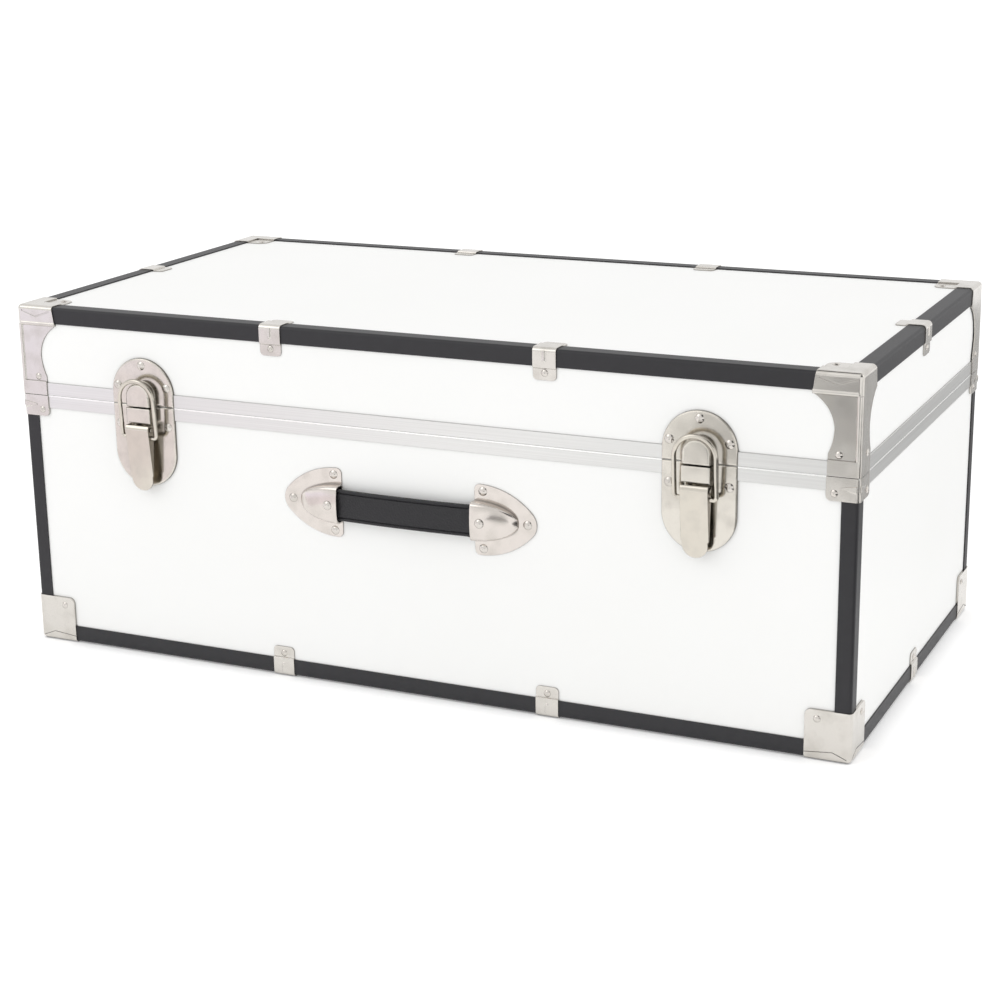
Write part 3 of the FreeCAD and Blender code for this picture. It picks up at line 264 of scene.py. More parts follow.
@dataclass(frozen=True)
class LacqueredSteel(Finish):
    """Rolled steel strip under charcoal lacquer: a dark satin that greys where light grazes it."""

    peel_mm: float = 1.6
    peel_depth_mm: float = 0.08
    peel_strength: float = 0.12
    cloud_mm: float = 9.0
    edge_mm: float = 0.5
    shade: str = "#222125"
    gloss_swing: tuple[float, float] = (-0.04, 0.06)

    def paint(self, tree: bpy.types.NodeTree, shader: bpy.types.Node) -> None:
        """Add the spray's orange peel, its clouds and soft corners.

        Args:
            tree: The material's node tree.
            shader: Its surface shader.
        """
        place = add_node(tree, "ShaderNodeTexCoord").outputs["Object"]
        peel, cloud = (
            add_node(
                tree, "ShaderNodeTexNoise", {"Scale": per_metre(size), "Detail": detail}, {"Vector": place},
            )
            for size, detail in ((self.peel_mm, 2.0), (self.cloud_mm, 3.0))
        )
        tone = add_node(
            tree, "ShaderNodeMix",
            {"data_type": "RGBA", TONE_A: to_linear(self.colour), TONE_B: to_linear(self.shade)},
            {"Factor": cloud.outputs["Fac"]},
        )
        corner = add_node(tree, "ShaderNodeBevel", {"samples": EDGE_RAYS, "Radius": self.edge_mm * MM})
        bump = add_node(
            tree, "ShaderNodeBump", {"Strength": self.peel_strength, "Distance": self.peel_depth_mm * MM},
            {"Height": peel.outputs["Fac"], "Normal": corner.outputs["Normal"]},
        )
        smoothest, roughest = (self.roughness + swing for swing in self.gloss_swing)
        gloss = add_node(
            tree, "ShaderNodeMapRange", {"To Min": smoothest, "To Max": roughest},
            {"Value": peel.outputs["Fac"]},
        )
        tree.links.new(tone.outputs[TONE_OUT], shader.inputs["Base Color"])
        tree.links.new(gloss.outputs["Result"], shader.inputs["Roughness"])
        tree.links.new(bump.outputs["Normal"], shader.inputs["Normal"])


@dataclass(frozen=True)
class DrawnAluminium(Finish):
    """Aluminium channel drawn through a die: pale grey metal with fine lines along its length."""

    # Drawn a few times coarser than a die's own lines, which are too fine for the picture
    line_mm: float = 0.7
    line_depth_mm: float = 0.05
    line_strength: float = 0.25
    drift_mm: float = 220.0
    edge_mm: float = 0.3
    shade: str = "#D0CFCD"
    # The painted shade in the corners, and how far it reaches
    painted_shade: str = "#757472"
    painted_shade_mm: float = 1.6
    open_share: float = 0.48

    def paint(self, tree: bpy.types.NodeTree, shader: bpy.types.Node) -> None:
        """Add the die lines, which change with height and hardly along the strip, and painted shade in the
        corners.

        Args:
            tree: The material's node tree.
            shader: Its surface shader.
        """
        place = add_node(tree, "ShaderNodeTexCoord").outputs["Object"]
        drift = per_metre(self.drift_mm)
        stretched = add_node(
            tree, "ShaderNodeMapping", {"Scale": (drift, drift, per_metre(self.line_mm))},
            {"Vector": place},
        )
        lines = add_node(
            tree, "ShaderNodeTexNoise", {"Scale": 1.0, "Detail": 3.0},
            {"Vector": stretched.outputs["Vector"]},
        )
        tone = add_node(
            tree, "ShaderNodeMix",
            {"data_type": "RGBA", TONE_A: to_linear(self.shade), TONE_B: to_linear(self.colour)},
            {"Factor": lines.outputs["Fac"]},
        )
        corner = add_node(tree, "ShaderNodeBevel", {"samples": EDGE_RAYS, "Radius": self.edge_mm * MM})
        bump = add_node(
            tree, "ShaderNodeBump", {"Strength": self.line_strength, "Distance": self.line_depth_mm * MM},
            {"Height": lines.outputs["Fac"], "Normal": corner.outputs["Normal"]},
        )
        crease_shaded = paint_crease_shade(tree, tone.outputs[TONE_OUT], self.painted_shade, self.painted_shade_mm, self.open_share)
        shader.inputs["Metallic"].default_value = 1.0
        tree.links.new(crease_shaded, shader.inputs["Base Color"])
        tree.links.new(bump.outputs["Normal"], shader.inputs["Normal"])


@dataclass(frozen=True)
class PlatedSteel(Finish):
    """Pressed steel, barrel polished and plated with nickel or zinc: a bright metal, shade painted in
    creases.
    """

    shade: str = "#B7B2AA"
    # The painted shade in the creases, and how far it reaches
    crease: str = "#4A453F"
    crease_mm: float = 1.6
    open_share: float = 0.42
    # The painted shade on edges and flanks that face across Y, or nothing where none is painted
    flank_shade: str = ""
    flank_span: tuple[float, float] = (0.1, 0.65)
    smudge_mm: float = 14.0
    smudge_span: tuple[float, float] = (0.45, 0.75)
    smudge_share: float = 0.5
    wave_mm: float = 26.0
    wave_depth_mm: float = 0.6
    wave_strength: float = 0.5
    # Coarser than the polish's own grit, which is too fine for the picture
    grit_mm: float = 0.35
    grit_depth_mm: float = 0.03
    grit_strength: float = 0.04
    edge_mm: float = 0.4
    gloss_swing: tuple[float, float] = (-0.06, 0.08)

    def paint(self, tree: bpy.types.NodeTree, shader: bpy.types.Node) -> None:
        """Add the polish's smudges and grit, the sheet's slow waves, rolled edges and painted crease shade.

        Args:
            tree: The material's node tree.
            shader: Its surface shader.
        """
        place = add_node(tree, "ShaderNodeTexCoord").outputs["Object"]
        smudge, wave, grit = (
            add_node(
                tree, "ShaderNodeTexNoise", {"Scale": per_metre(size), "Detail": detail}, {"Vector": place},
            )
            for size, detail in ((self.smudge_mm, 3.0), (self.wave_mm, 1.0), (self.grit_mm, 1.0))
        )
        smoothest, roughest = (self.roughness + swing for swing in self.gloss_swing)
        gloss = add_node(
            tree, "ShaderNodeMapRange", {"To Min": smoothest, "To Max": roughest},
            {"Value": smudge.outputs["Fac"]},
        )
        low, high = self.smudge_span
        dulled = add_node(
            tree, "ShaderNodeMapRange", {"From Min": low, "From Max": high, "To Max": self.smudge_share},
            {"Value": smudge.outputs["Fac"]},
        )
        clean = add_node(
            tree, "ShaderNodeMix",
            {"data_type": "RGBA", TONE_A: to_linear(self.colour), TONE_B: to_linear(self.shade)},
            {"Factor": dulled.outputs["Result"]},
        )
        corner = add_node(tree, "ShaderNodeBevel", {"samples": EDGE_RAYS, "Radius": self.edge_mm * MM})
        waves = add_node(
            tree, "ShaderNodeBump", {"Strength": self.wave_strength, "Distance": self.wave_depth_mm * MM},
            {"Height": wave.outputs["Fac"], "Normal": corner.outputs["Normal"]},
        )
        bump = add_node(
            tree, "ShaderNodeBump", {"Strength": self.grit_strength, "Distance": self.grit_depth_mm * MM},
            {"Height": grit.outputs["Fac"], "Normal": waves.outputs["Normal"]},
        )
        polished = clean.outputs[TONE_OUT]
        if self.flank_shade:
            polished = self.paint_flank_shade(tree, polished)
        # Painted shade in the creases
        tone = paint_crease_shade(tree, polished, self.crease, self.crease_mm, self.open_share)
        shader.inputs["Metallic"].default_value = 1.0
        tree.links.new(tone, shader.inputs["Base Color"])
        tree.links.new(gloss.outputs["Result"], shader.inputs["Roughness"])
        tree.links.new(bump.outputs["Normal"], shader.inputs["Normal"])

    def paint_flank_shade(self, tree: bpy.types.NodeTree, face: bpy.types.NodeSocket) -> bpy.types.NodeSocket:
        """Paint shade on the edges and flanks, which face across Y.

        Args:
            tree: The material's node tree.
            face: The colour of what looks along Y.

        Returns:
            The colour with its painted flank shade.
        """
        normal = add_node(tree, "ShaderNodeTexCoord").outputs["Normal"]
        facing = add_node(tree, "ShaderNodeSeparateXYZ", links={0: normal})
        along = add_node(tree, "ShaderNodeMath", {"operation": "ABSOLUTE"}, {0: facing.outputs["Y"]})
        low, high = self.flank_span
        share = add_node(
            tree, "ShaderNodeMapRange", {"From Min": low, "From Max": high},
            {"Value": along.outputs["Value"]},
        )
        tone = add_node(
            tree, "ShaderNodeMix", {"data_type": "RGBA", TONE_A: to_linear(self.flank_shade)},
            {"Factor": share.outputs["Result"], TONE_B: face},
        )
        return tone.outputs[TONE_OUT]


@dataclass(frozen=True)
class GrainLeather(Finish):
    """Black harness leather, plated with a fine grain: soft broken highlights over near black."""

    # Drawn two to three times coarser than the hide's own, which is too fine for the picture
    grain_mm: float = 2.6
    grain_depth_mm: float = 0.5
    grain_strength: float = 0.9
    pore_mm: float = 1.0
    pore_share: float = 0.35
    shade: str = "#1C1B1F"
    ridge_tone: str = "#5C5B5E"
    ridge_span: tuple[float, float] = (0.52, 0.62)
    sheen: float = 0.4

    def paint(self, tree: bpy.types.NodeTree, shader: bpy.types.Node) -> None:
        """Add the grain's cells, the pores between them and the greyer tone on sharp ridges.

        Args:
            tree: The material's node tree.
            shader: Its surface shader.
        """
        place = add_node(tree, "ShaderNodeTexCoord").outputs["Object"]
        cells = add_node(
            tree, "ShaderNodeTexVoronoi",
            {"feature": "DISTANCE_TO_EDGE", "Scale": per_metre(self.grain_mm)},
            {"Vector": place},
        )
        pores = add_node(
            tree, "ShaderNodeTexNoise", {"Scale": per_metre(self.pore_mm), "Detail": 2.0},
            {"Vector": place},
        )
        height = add_node(
            tree, "ShaderNodeMath", {"operation": "MULTIPLY_ADD", 1: self.pore_share},
            {0: pores.outputs["Fac"], 2: cells.outputs["Distance"]},
        )
        bump = add_node(
            tree, "ShaderNodeBump",
            {"Strength": self.grain_strength, "Distance": self.grain_depth_mm * MM},
            {"Height": height.outputs["Value"]},
        )
        grain = add_node(
            tree, "ShaderNodeMix",
            {"data_type": "RGBA", TONE_A: to_linear(self.colour), TONE_B: to_linear(self.shade)},
            {"Factor": pores.outputs["Fac"]},
        )
        low, high = self.ridge_span
        sharp = add_node(
            tree, "ShaderNodeMapRange", {"From Min": low, "From Max": high},
            {"Value": add_node(tree, "ShaderNodeNewGeometry").outputs["Pointiness"]},
        )
        tone = add_node(
            tree, "ShaderNodeMix", {"data_type": "RGBA", TONE_B: to_linear(self.ridge_tone)},
            {"Factor": sharp.outputs["Result"], TONE_A: grain.outputs[TONE_OUT]},
        )
        shader.inputs["Specular IOR Level"].default_value = self.sheen
        tree.links.new(tone.outputs[TONE_OUT], shader.inputs["Base Color"])
        tree.links.new(bump.outputs["Normal"], shader.inputs["Normal"])


FINISHES = (
    # Pressed paper: white and even, with a sheen too soft to mirror
    MelamineBoard("white_board", "white_melamine_pressed_on_plywood", "#FAFAF9", 0.5),
    # Sprayed lacquer: charcoal, with a broad grey sheen along each arris
    LacqueredSteel("black_binding", "charcoal_lacquer_sprayed_on_steel", "#19181C", 0.46),
    # Drawn channel: pale metal, streaked along its length
    DrawnAluminium("rim_aluminium", "drawn_aluminium", "#E5E5E3", 0.34),
    # The rim's lip, painted brighter than the rim as a highlight: a white line along the seam
    DrawnAluminium("rim_lip", "drawn_aluminium_burnished", "#F8F8F6", 0.26, shade="#F1F1EF"),
    # Barrel polished pressings: satin, slightly warm
    PlatedSteel(
        "nickel_hardware", "nickel_plate_on_pressed_steel", "#D2CEC8", 0.2,
        crease="#332F2B", crease_mm=2.2, open_share=0.52,
    ),
    # Thicker latch plates: smooth enough to mirror the loop, with dark painted shade along their edges and
    # flanks
    PlatedSteel(
        "latch_nickel", "nickel_plate_on_latch_plates", "#D6D1C8", 0.16, flank_shade="#79736B", edge_mm=1.8,
    ),
    # The latch's moving parts, with a lighter painted shade on their flanks
    PlatedSteel(
        "latch_polish", "nickel_plate_on_latch_levers", "#CFC9BE", 0.15, flank_shade="#8F8981", edge_mm=0.8,
    ),
    # Deep drawn caps, a touch pinker
    PlatedSteel(
        "handle_nickel", "nickel_plate_on_handle_caps", "#D5CEC8", 0.15,
        crease="#3A3530", crease_mm=3.0, open_share=0.52,
    ),
    # Small domes, polished brightest
    PlatedSteel(
        "fastener_nickel", "nickel_plate_on_rivets", "#D2CDC7", 0.14, crease_mm=2.5, open_share=0.6,
    ),
    # Hidden at the back: plainer plate
    PlatedSteel("hinge_steel", "nickel_plate_on_hinges", "#CDC9C1", 0.28),
    # Inside the case: dull zinc
    PlatedSteel("stay_steel", "zinc_plate_on_lid_stay", "#C6C7C6", 0.36),
    # Plated hide: near black, with a fine broken shine
    GrainLeather("strap_leather", "black_harness_leather", "#0E0D10", 0.46),
)


class Wardrobe:
    """The trunk's materials, and their use on CAD nodes and on new pieces."""

    def __init__(self, finishes: tuple[Finish, ...]) -> None:
        """Make every material.

        Args:
            finishes: The finishes, each under its slot or its own name.
        """
        self.materials = {finish.slot: finish.build() for finish in finishes}

    def dress_node(self, name: str, finish: str = "") -> None:
        """Give a CAD node a material.

        Args:
            name: The node's name.
            finish: The finish, or nothing for the one of the node's slot.
        """
        mesh = frame["nodes"][name].data
        mesh.materials.clear()
        mesh.materials.append(self.materials[finish or SLOT_OF[name]])
        log.info("dressed %s", name)

    def dress_piece(self, piece: bpy.types.Object, slot: str, body: str, finish: str = "") -> None:
        """Give a new piece the material of its slot or finish, and the body that it moves with.

        Args:
            piece: The new piece.
            slot: The record's material slot.
            body: The CAD body that carries it.
            finish: The finish, or nothing for the one of the slot.
        """
        piece.data.materials.clear()
        piece.data.materials.append(self.materials[finish or slot])
        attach(piece, body)
        log.info("built %s", piece.name)


def new_piece(name: str, mesh_data: bmesh.types.BMesh, crisp_deg: float = 40.0) -> bpy.types.Object:
    """Turn a bmesh into a shaded object in the scene.

    Args:
        name: The piece's name.
        mesh_data: The bmesh, which is freed.
        crisp_deg: The turn between two faces from which their edge stays crisp.

    Returns:
        The new object.
    """
    mesh = bpy.data.meshes.new(name)
    mesh_data.to_mesh(mesh)
    mesh_data.free()
    mesh.shade_smooth()
    mesh.set_sharp_from_angle(angle=math.radians(crisp_deg))
    piece = bpy.data.objects.new(name, mesh)
    bpy.context.scene.collection.objects.link(piece)
    return piece


def skin_rings(
    rings: list[list[Vector]], endless: bool = False, beside: bmesh.types.BMesh | None = None,
) -> bmesh.types.BMesh:
    """Join closed rings of points into a tube.

    Args:
        rings: Rings of equal length, in order along the tube.
        endless: Whether the tube runs back into its first ring, or else has capped ends.
        beside: The bmesh that takes the tube, or nothing for a new one.

    Returns:
        The bmesh with the tube in it.
    """
    tube = bmesh.new() if beside is None else beside
    rows = [[tube.verts.new(point) for point in ring] for ring in rings]
    for row, following in zip(rows, rows[1:] + rows[:1] if endless else rows[1:]):
        for place in range(len(row)):
            after = (place + 1) % len(row)
            tube.faces.new((row[place], row[after], following[after], following[place]))
    if not endless:
        tube.faces.new(reversed(rows[0]))
        tube.faces.new(rows[-1])
    bmesh.ops.recalc_face_normals(tube, faces=tube.faces)
    return tube


def flat_sheet(name: str, width: float, depth: float, height: float = 0.0) -> bpy.types.Object:
    """Cut a level rectangle, centred on the origin.

    Args:
        name: The sheet's name.
        width: Its size along X.
        depth: Its size along Y.
        height: Its place along Z.

    Returns:
        The new object.
    """
    sheet = bmesh.new()
    corners = [(along * width / 2, across * depth / 2, height) for along, across in CORNERS]
    sheet.faces.new([sheet.verts.new(corner) for corner in corners])
    return new_piece(name, sheet)


@dataclass
class Assembly:
    """A sub-assembly of CAD nodes that keep their shapes and get their finishes."""

    starts: tuple[str, ...] = ()
    endings: tuple[str, ...] = ()
    kept_out: tuple[str, ...] = ()

    def nodes(self) -> list[str]:
        """List the sub-assembly's nodes, by how their names start and end."""
        named = {name for name in SLOT_OF if name.startswith(self.starts) or name.endswith(self.endings)}
        return sorted(named - set(self.kept_out))

    def dress(self, wardrobe: Wardrobe) -> None:
        """Give every node its material.

        Args:
            wardrobe: The trunk's materials.
        """
        for name in self.nodes():
            wardrobe.dress_node(name)


@dataclass
class CaseBody(Assembly):
    """The case: boards, rim, bindings, caps, brackets, clips, nails, and the lip and darts built here."""

    starts: tuple[str, ...] = ("case_",)
    endings: tuple[str, ...] = ("_bottom_cap",)
    rim_half_length: float = 380.0 * MM
    rim_half_depth: float = 199.0 * MM
    lip_low: float = 229.35 * MM
    lip_high: float = 230.75 * MM
    lip_proud: float = 0.25 * MM
    lip_sunk: float = 0.55 * MM
    bracket_half_length: float = 381.0 * MM
    bracket_half_depth: float = 200.0 * MM
    dart_inset: float = 2.5 * MM
    dart_length: float = 11.8 * MM
    dart_sunk: float = 0.2 * MM
    # At the fold and at the tip
    dart_proud: tuple[float, float] = (0.8 * MM, 0.3 * MM)
    # The lowest and the highest point of each
    dart_foot: tuple[float, float] = (217.6 * MM, 224.7 * MM)
    dart_crest: tuple[float, float] = (220.0 * MM, 224.3 * MM)
    dart_tip: tuple[float, float] = (220.9 * MM, 222.4 * MM)
    dart_crisp_deg: float = 8.0

    def build(self, wardrobe: Wardrobe) -> None:
        """Add the lip and the darts.

        Args:
            wardrobe: The trunk's materials.
        """
        self.build_lip(wardrobe)
        self.build_darts(wardrobe)

    def build_darts(self, wardrobe: Wardrobe) -> None:
        """Press a tapered dart on both faces of each rim bracket, running in from the fold.

        Args:
            wardrobe: The trunk's materials.
        """
        darts = bmesh.new()
        for corner in CORNERS:
            for on_end in (False, True):
                rings = [
                    self.dart_ring(corner, on_end, self.dart_foot, (-self.dart_sunk, -self.dart_sunk)),
                    self.dart_ring(corner, on_end, self.dart_crest, self.dart_proud),
                ]
                skin_rings(rings, beside=darts)
        piece = new_piece("bracket_darts", darts, self.dart_crisp_deg)
        wardrobe.dress_piece(piece, "nickel_hardware", "trunk_case")

    def dart_ring(
        self, corner: tuple[int, int], on_end: bool, wide: tuple[float, float], proud: tuple[float, float],
    ) -> list[Vector]:
        """List the corners of one level of a dart.

        Args:
            corner: The bracket, as signs along X and Y.
            on_end: Whether the dart is on the bracket's end face, or else on its front or back.
            wide: The lowest and highest point of the level at the fold.
            proud: How far the level stands out at the fold and at the tip.

        Returns:
            The points in order: up at the fold and down at the tip.
        """
        fold, tip = -self.dart_inset, -self.dart_inset - self.dart_length
        ring = []
        for inward, height, out in (
            (fold, wide[0], proud[0]),
            (fold, wide[1], proud[0]),
            (tip, self.dart_tip[1], proud[1]),
            (tip, self.dart_tip[0], proud[1]),
        ):
            out_x, out_y = (out, inward) if on_end else (inward, out)
            x = corner[0] * (self.bracket_half_length + out_x)
            ring.append(Vector((x, corner[1] * (self.bracket_half_depth + out_y), height)))
        return ring

    def build_lip(self, wardrobe: Wardrobe) -> None:
        """Run the lip round the top of the rim, just clear of the lid.

        Args:
            wardrobe: The trunk's materials.
        """
        section = (
            (-self.lip_sunk, self.lip_low),
            (0.0, self.lip_low),
            (self.lip_proud, self.lip_low + self.lip_proud),
            (self.lip_proud, self.lip_high - self.lip_proud),
            (0.0, self.lip_high),
            (-self.lip_sunk, self.lip_high),
        )
        length, depth = self.rim_half_length, self.rim_half_depth
        rings = [
            [Vector((along * (length + out), across * (depth + out), height)) for out, height in section]
            for along, across in CORNERS
        ]
        lip = new_piece("case_rim_lip", skin_rings(rings, endless=True))
        # The lip's brighter finish is a painted highlight along the seam
        wardrobe.dress_piece(lip, "rim_aluminium", "trunk_case", "rim_lip")


@dataclass
class Lid(Assembly):
    """The lid: boards, rim, bindings, pressed corners, clips and their nails."""

    starts: tuple[str, ...] = ("lid_",)
    endings: tuple[str, ...] = ("_lid_corner",)


@dataclass
class DrawLatch(Assembly):
    """One draw latch: keeper, base, lever, loop and pin."""

    side: Side = Side.LEFT
    handled: tuple[str, ...] = ("_lever", "_loop", "_pin")

    def __post_init__(self) -> None:
        """Take the nodes that are named for the latch's side."""
        self.starts = (self.side.name.lower() + "_latch_",)

    def dress(self, wardrobe: Wardrobe) -> None:
        """Give the plates their satin and the moving parts their polish.

        Args:
            wardrobe: The trunk's materials.
        """
        for name in self.nodes():
            wardrobe.dress_node(name, "latch_polish" if name.endswith(self.handled) else "")


@dataclass
class RearHinges(Assembly):
    """Both hinges on the back, with their pins."""

    starts: tuple[str, ...] = ("left_hinge_", "right_hinge_")


@dataclass
class LidStay(Assembly):
    """The slotted stay inside the left end."""

    starts: tuple[str, ...] = ("stay_",)


@dataclass
class StrapHandle(Assembly):
    """The handle: nickel caps and rivets, and a leather strap bowed from the case, which is built here."""

    starts: tuple[str, ...] = ("handle_",)
    endings: tuple[str, ...] = ("_handle_cap",)
    kept_out: tuple[str, ...] = ("handle_strap",)
    height: float = 163.2 * MM
    front_plane: float = -200.0 * MM
    crown_proud: float = 8.0 * MM
    heel_proud: float = 4.6 * MM
    thickness: float = 4.0 * MM
    half_height: float = 13.4 * MM
    shoulder: float = 58.0 * MM
    round_reach: float = 75.0 * MM
    round_half_height: float = 10.81 * MM
    reach: float = 84.0 * MM
    end_half_height: float = 4.69 * MM
    edge_round: float = 1.1 * MM
    edge_steps: int = 4
    crease_inset: float = 2.9 * MM
    crease_depth: float = 0.7 * MM
    crease_width: float = 0.7 * MM
    rivet_reach: float = 70.0 * MM
    slot_radius: float = 2.5 * MM
    slot_play: float = 3.0 * MM
    slot_steps: int = 24
    cutter_reach: float = 24.0 * MM
    stations: int = 57

    def half_height_at(self, x: float) -> float:
        """Return half the strap's height, which past the shoulder follows a parabola to the rounded end.

        Args:
            x: The place along the strap.

        Returns:
            Half the height there.
        """
        away = abs(x)
        if away <= self.shoulder:
            return self.half_height
        points = (self.shoulder, self.round_reach, self.reach)
        values = (self.half_height, self.round_half_height, self.end_half_height)
        total = 0.0
        for own, value in zip(points, values):
            weight = value
            for other in points:
                if other != own:
                    weight *= (away - other) / (own - other)
            total += weight
        return total

    def face_at(self, x: float) -> float:
        """Return the Y of the strap's outer face at a place along it."""
        sag = self.crown_proud - self.heel_proud
        return self.front_plane - self.crown_proud + sag * (x / self.reach) ** 2

    def section(self, half: float) -> list[tuple[float, float]]:
        """List the strap's section as (depth behind the outer face, height), creased along both edges.

        Args:
            half: Half the strap's height.

        Returns:
            The section's points in order.
        """
        fold = half - self.crease_inset
        crease = [
            (0.0, fold - self.crease_width),
            (self.crease_depth, fold),
            (0.0, fold + self.crease_width),
        ]
        turns = [math.pi / 2 * step / self.edge_steps for step in range(self.edge_steps + 1)]
        corner = [
            (self.edge_round * (1 - math.cos(turn)), half - self.edge_round * (1 - math.sin(turn)))
            for turn in turns
        ]
        back = [(self.thickness - depth, level) for depth, level in reversed(corner)]
        upper = crease + corner + back
        return upper + [(depth, -level) for depth, level in reversed(upper)]

    def build(self, wardrobe: Wardrobe) -> None:
        """Sweep the strap along its bow and cut the rivet slots.

        Args:
            wardrobe: The trunk's materials.
        """
        rings = []
        for place in range(self.stations):
            x = self.reach * (2 * place / (self.stations - 1) - 1)
            face = self.face_at(x)
            section = self.section(self.half_height_at(x))
            rings.append([Vector((x, face + depth, self.height + level)) for depth, level in section])
        strap = new_piece("leather_strap", skin_rings(rings))
        for side in Side:
            self.cut_slot(strap, side)
        wardrobe.dress_piece(strap, "strap_leather", "handle_strap")
        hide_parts("handle_strap")

    def cut_slot(self, strap: bpy.types.Object, side: Side) -> None:
        """Cut the slot for one cap's rivet.

        Args:
            strap: The strap, which is changed.
            side: The end that takes the slot.
        """
        ring = []
        for step in range(self.slot_steps):
            turn = 2 * math.pi * (step + 0.5) / self.slot_steps
            slide = math.copysign(self.slot_play, math.cos(turn))
            x = side.value * self.rivet_reach + slide + self.slot_radius * math.cos(turn)
            ring.append((x, self.height + self.slot_radius * math.sin(turn)))
        ends = (self.front_plane - self.cutter_reach, self.front_plane + self.cutter_reach)
        cutter = new_piece(
            "slot_cutter", skin_rings([[Vector((x, y, z)) for x, z in ring] for y in ends]),
        )
        boolean = strap.modifiers.new("slot", "BOOLEAN")
        boolean.object = cutter
        boolean.operation = "DIFFERENCE"
        graph = bpy.context.evaluated_depsgraph_get()
        cut = bpy.data.meshes.new_from_object(strap.evaluated_get(graph))
        strap.modifiers.clear()
        strap.data = cut
        bpy.data.objects.remove(cutter)


@dataclass(frozen=True)
class Flag:
    """A toned card out of the picture, which only the metal's reflections show."""

    name: str
    place: tuple[float, float, float]
    facing: tuple[float, float, float]
    size: tuple[float, float]
    level: float
    tint: str = WHITE

    def hang(self) -> None:
        """Hang the card, turned to what it faces."""
        flag = flat_sheet(self.name, *self.size)
        tilt = Vector(self.facing).to_track_quat("Z", "Y").to_matrix().to_4x4()
        flag.matrix_world = Matrix.Translation(self.place) @ tilt
        cloth = bpy.data.materials.new(self.name + "_cloth")
        cloth.use_nodes = True
        shader = cloth.node_tree.nodes["Principled BSDF"]
        shader.inputs["Base Color"].default_value = to_linear(BLACK)
        shader.inputs["Specular IOR Level"].default_value = 0.0
        shader.inputs["Emission Color"].default_value = to_linear(self.tint)
        shader.inputs["Emission Strength"].default_value = self.level
        flag.data.materials.append(cloth)
        flag.visible_camera = False
        flag.visible_diffuse = False
        flag.visible_transmission = False
        flag.visible_shadow = False


UP = (0.0, 0.0, 1.0)
DOWN = (0.0, 0.0, -1.0)
# The height of the cards that lie on the floor
LOW = 2.0 * MM
FLAGS = (
    # The dark floor well in front, which the right lid corner and the tops of the latches mirror
    Flag("front_apron", (0.21, -1.81, LOW), UP, (0.6, 1.58), 0.28),
    # The rosy floor on the left, which the left latch and cap mirror
    Flag("left_apron", (-0.72, -1.1, LOW), UP, (0.5, 1.4), 1.16, tint="#F8F1F5"),
    # The brighter, bluer floor beyond it, which the left lid corner mirrors
    Flag("far_apron", (-1.37, -1.3, LOW), UP, (0.8, 1.6), 1.32, tint="#F5F1FE"),
    # The grey floor behind the right end, which the end's metal mirrors
    Flag("rear_apron", (0.9, 0.95, LOW), UP, (0.9, 1.4), 0.55),
    # The dark floor on the right, which draws the dark line on each edge that looks right
    Flag("right_flag", (0.95, -0.5, LOW), UP, (0.9, 0.6), 0.05),
    # The dark corner of the room, which darkens the upper right of each rivet and rounded edge
    Flag("high_flag", (1.35, -1.1, 1.5), (-1.35, 0.9, -1.3), (1.6, 1.3), 0.04),
    # The dark ceiling, which draws the thin dark line on each edge that looks up
    Flag("ceiling_flag", (0.2, 0.3, 2.1), DOWN, (1.4, 1.0), 0.1),
)


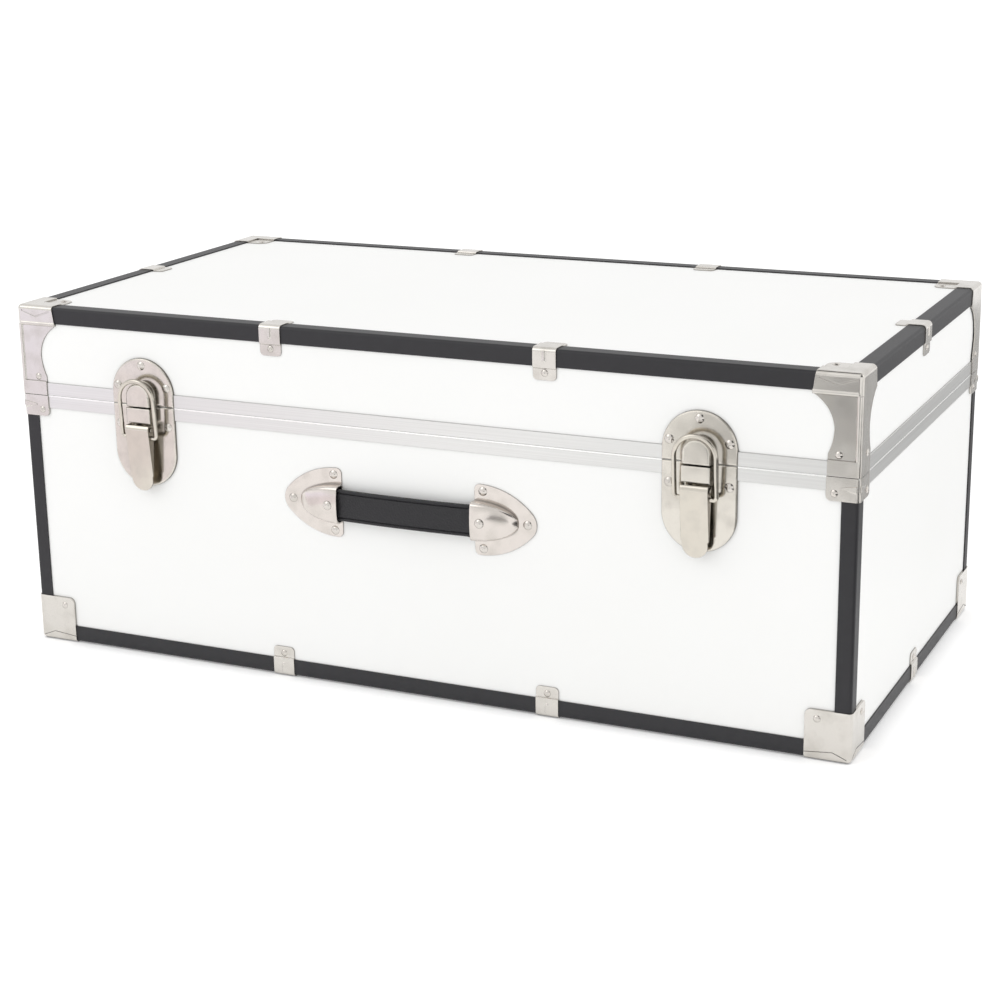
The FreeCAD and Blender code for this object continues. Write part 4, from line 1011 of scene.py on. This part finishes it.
@dataclass
class Studio:
    """A pale floor, soft white light from all round, two large soft lamps, toned cards and the camera."""

    floor_size: float = 60.0
    floor_drop: float = 0.3 * MM
    floor_lift: float = 0.2
    world_strength: float = 0.95
    world_seen: float = 1.0
    key_place: tuple[float, float, float] = (-1.9, -2.4, 2.5)
    lamp_size: float = 2.2
    key_watts: float = 14.0
    fill_place: tuple[float, float, float] = (3.2, 0.6, 1.8)
    fill_watts: float = 9.0
    azimuth: float = math.radians(24.834)
    elevation: float = math.radians(16.331)
    roll: float = math.radians(-0.836)
    distance: float = 1.938753
    focal_share: float = 2.116727
    target: tuple[float, float, float] = (-0.007694, 0.0, 0.117762)
    sensor: float = 36.0

    def build(self) -> None:
        """Set the stage, the lights and the camera."""
        self.lay_floor()
        self.light_world()
        self.hang_lamp("key_softbox", self.key_place, self.key_watts)
        self.hang_lamp("fill_softbox", self.fill_place, self.fill_watts)
        for flag in FLAGS:
            flag.hang()
        self.set_camera()
        bpy.context.scene.view_settings.view_transform = "Standard"
        log.info("built the studio")

    def lay_floor(self) -> None:
        """Lay a wide floor of matt white paper, lifted a little to white for what sees it."""
        floor = flat_sheet("studio_floor", self.floor_size, self.floor_size, -self.floor_drop)
        paper = bpy.data.materials.new("matt_white_paper")
        paper.use_nodes = True
        tree = paper.node_tree
        shader = tree.nodes["Principled BSDF"]
        shader.inputs["Base Color"].default_value = to_linear(WHITE)
        shader.inputs["Roughness"].default_value = 1.0
        shader.inputs["Specular IOR Level"].default_value = 0.0
        shader.inputs["Emission Color"].default_value = to_linear(WHITE)
        tree.links.new(seen_strength(tree, 0.0, self.floor_lift), shader.inputs["Emission Strength"])
        floor.data.materials.append(paper)

    def light_world(self) -> None:
        """Fill the world with even light, which is plain white where it is seen."""
        world = bpy.data.worlds.new("studio_light")
        bpy.context.scene.world = world
        world.use_nodes = True
        sky = world.node_tree.nodes["Background"]
        sky.inputs["Color"].default_value = to_linear(WHITE)
        strength = seen_strength(world.node_tree, self.world_strength, self.world_seen)
        world.node_tree.links.new(strength, sky.inputs["Strength"])

    def hang_lamp(self, name: str, place: tuple[float, float, float], watts: float) -> None:
        """Hang one large soft lamp, aimed at the trunk.

        Args:
            name: The lamp's name.
            place: Where it hangs.
            watts: Its power.
        """
        lamp = bpy.data.lights.new(name, "AREA")
        lamp.energy = watts
        lamp.size = self.lamp_size
        softbox = bpy.data.objects.new(name, lamp)
        softbox.location = place
        aim = Vector(self.target) - Vector(place)
        softbox.rotation_euler = aim.to_track_quat("-Z", "Y").to_euler()
        bpy.context.scene.collection.objects.link(softbox)

    def set_camera(self) -> None:
        """Set the camera at the photograph's viewing angle."""
        back = Vector((
            math.sin(self.azimuth) * math.cos(self.elevation),
            -math.cos(self.azimuth) * math.cos(self.elevation),
            math.sin(self.elevation),
        ))
        level = Vector((math.cos(self.azimuth), math.sin(self.azimuth), 0.0))
        rise = back.cross(level)
        right = math.cos(self.roll) * level + math.sin(self.roll) * rise
        up = -math.sin(self.roll) * level + math.cos(self.roll) * rise
        lens = bpy.data.cameras.new("camera")
        lens.sensor_width = self.sensor
        lens.lens = self.focal_share * self.sensor
        camera = bpy.data.objects.new("camera", lens)
        turn = Matrix((right, up, back)).transposed().to_4x4()
        camera.matrix_world = Matrix.Translation(Vector(self.target) + back * self.distance) @ turn
        bpy.context.scene.collection.objects.link(camera)
        bpy.context.scene.camera = camera


def main() -> None:
    """Dress the trunk, build its own pieces and set the studio."""
    logging.basicConfig(level=logging.INFO, format="%(name)s: %(message)s")
    wardrobe = Wardrobe(FINISHES)
    case = CaseBody()
    handle = StrapHandle()
    latches = [DrawLatch(side=side) for side in Side]
    for assembly in (case, Lid(), *latches, handle, RearHinges(), LidStay()):
        assembly.dress(wardrobe)
    case.build(wardrobe)
    handle.build(wardrobe)
    Studio().build()


if __name__ == "__main__":
    main()
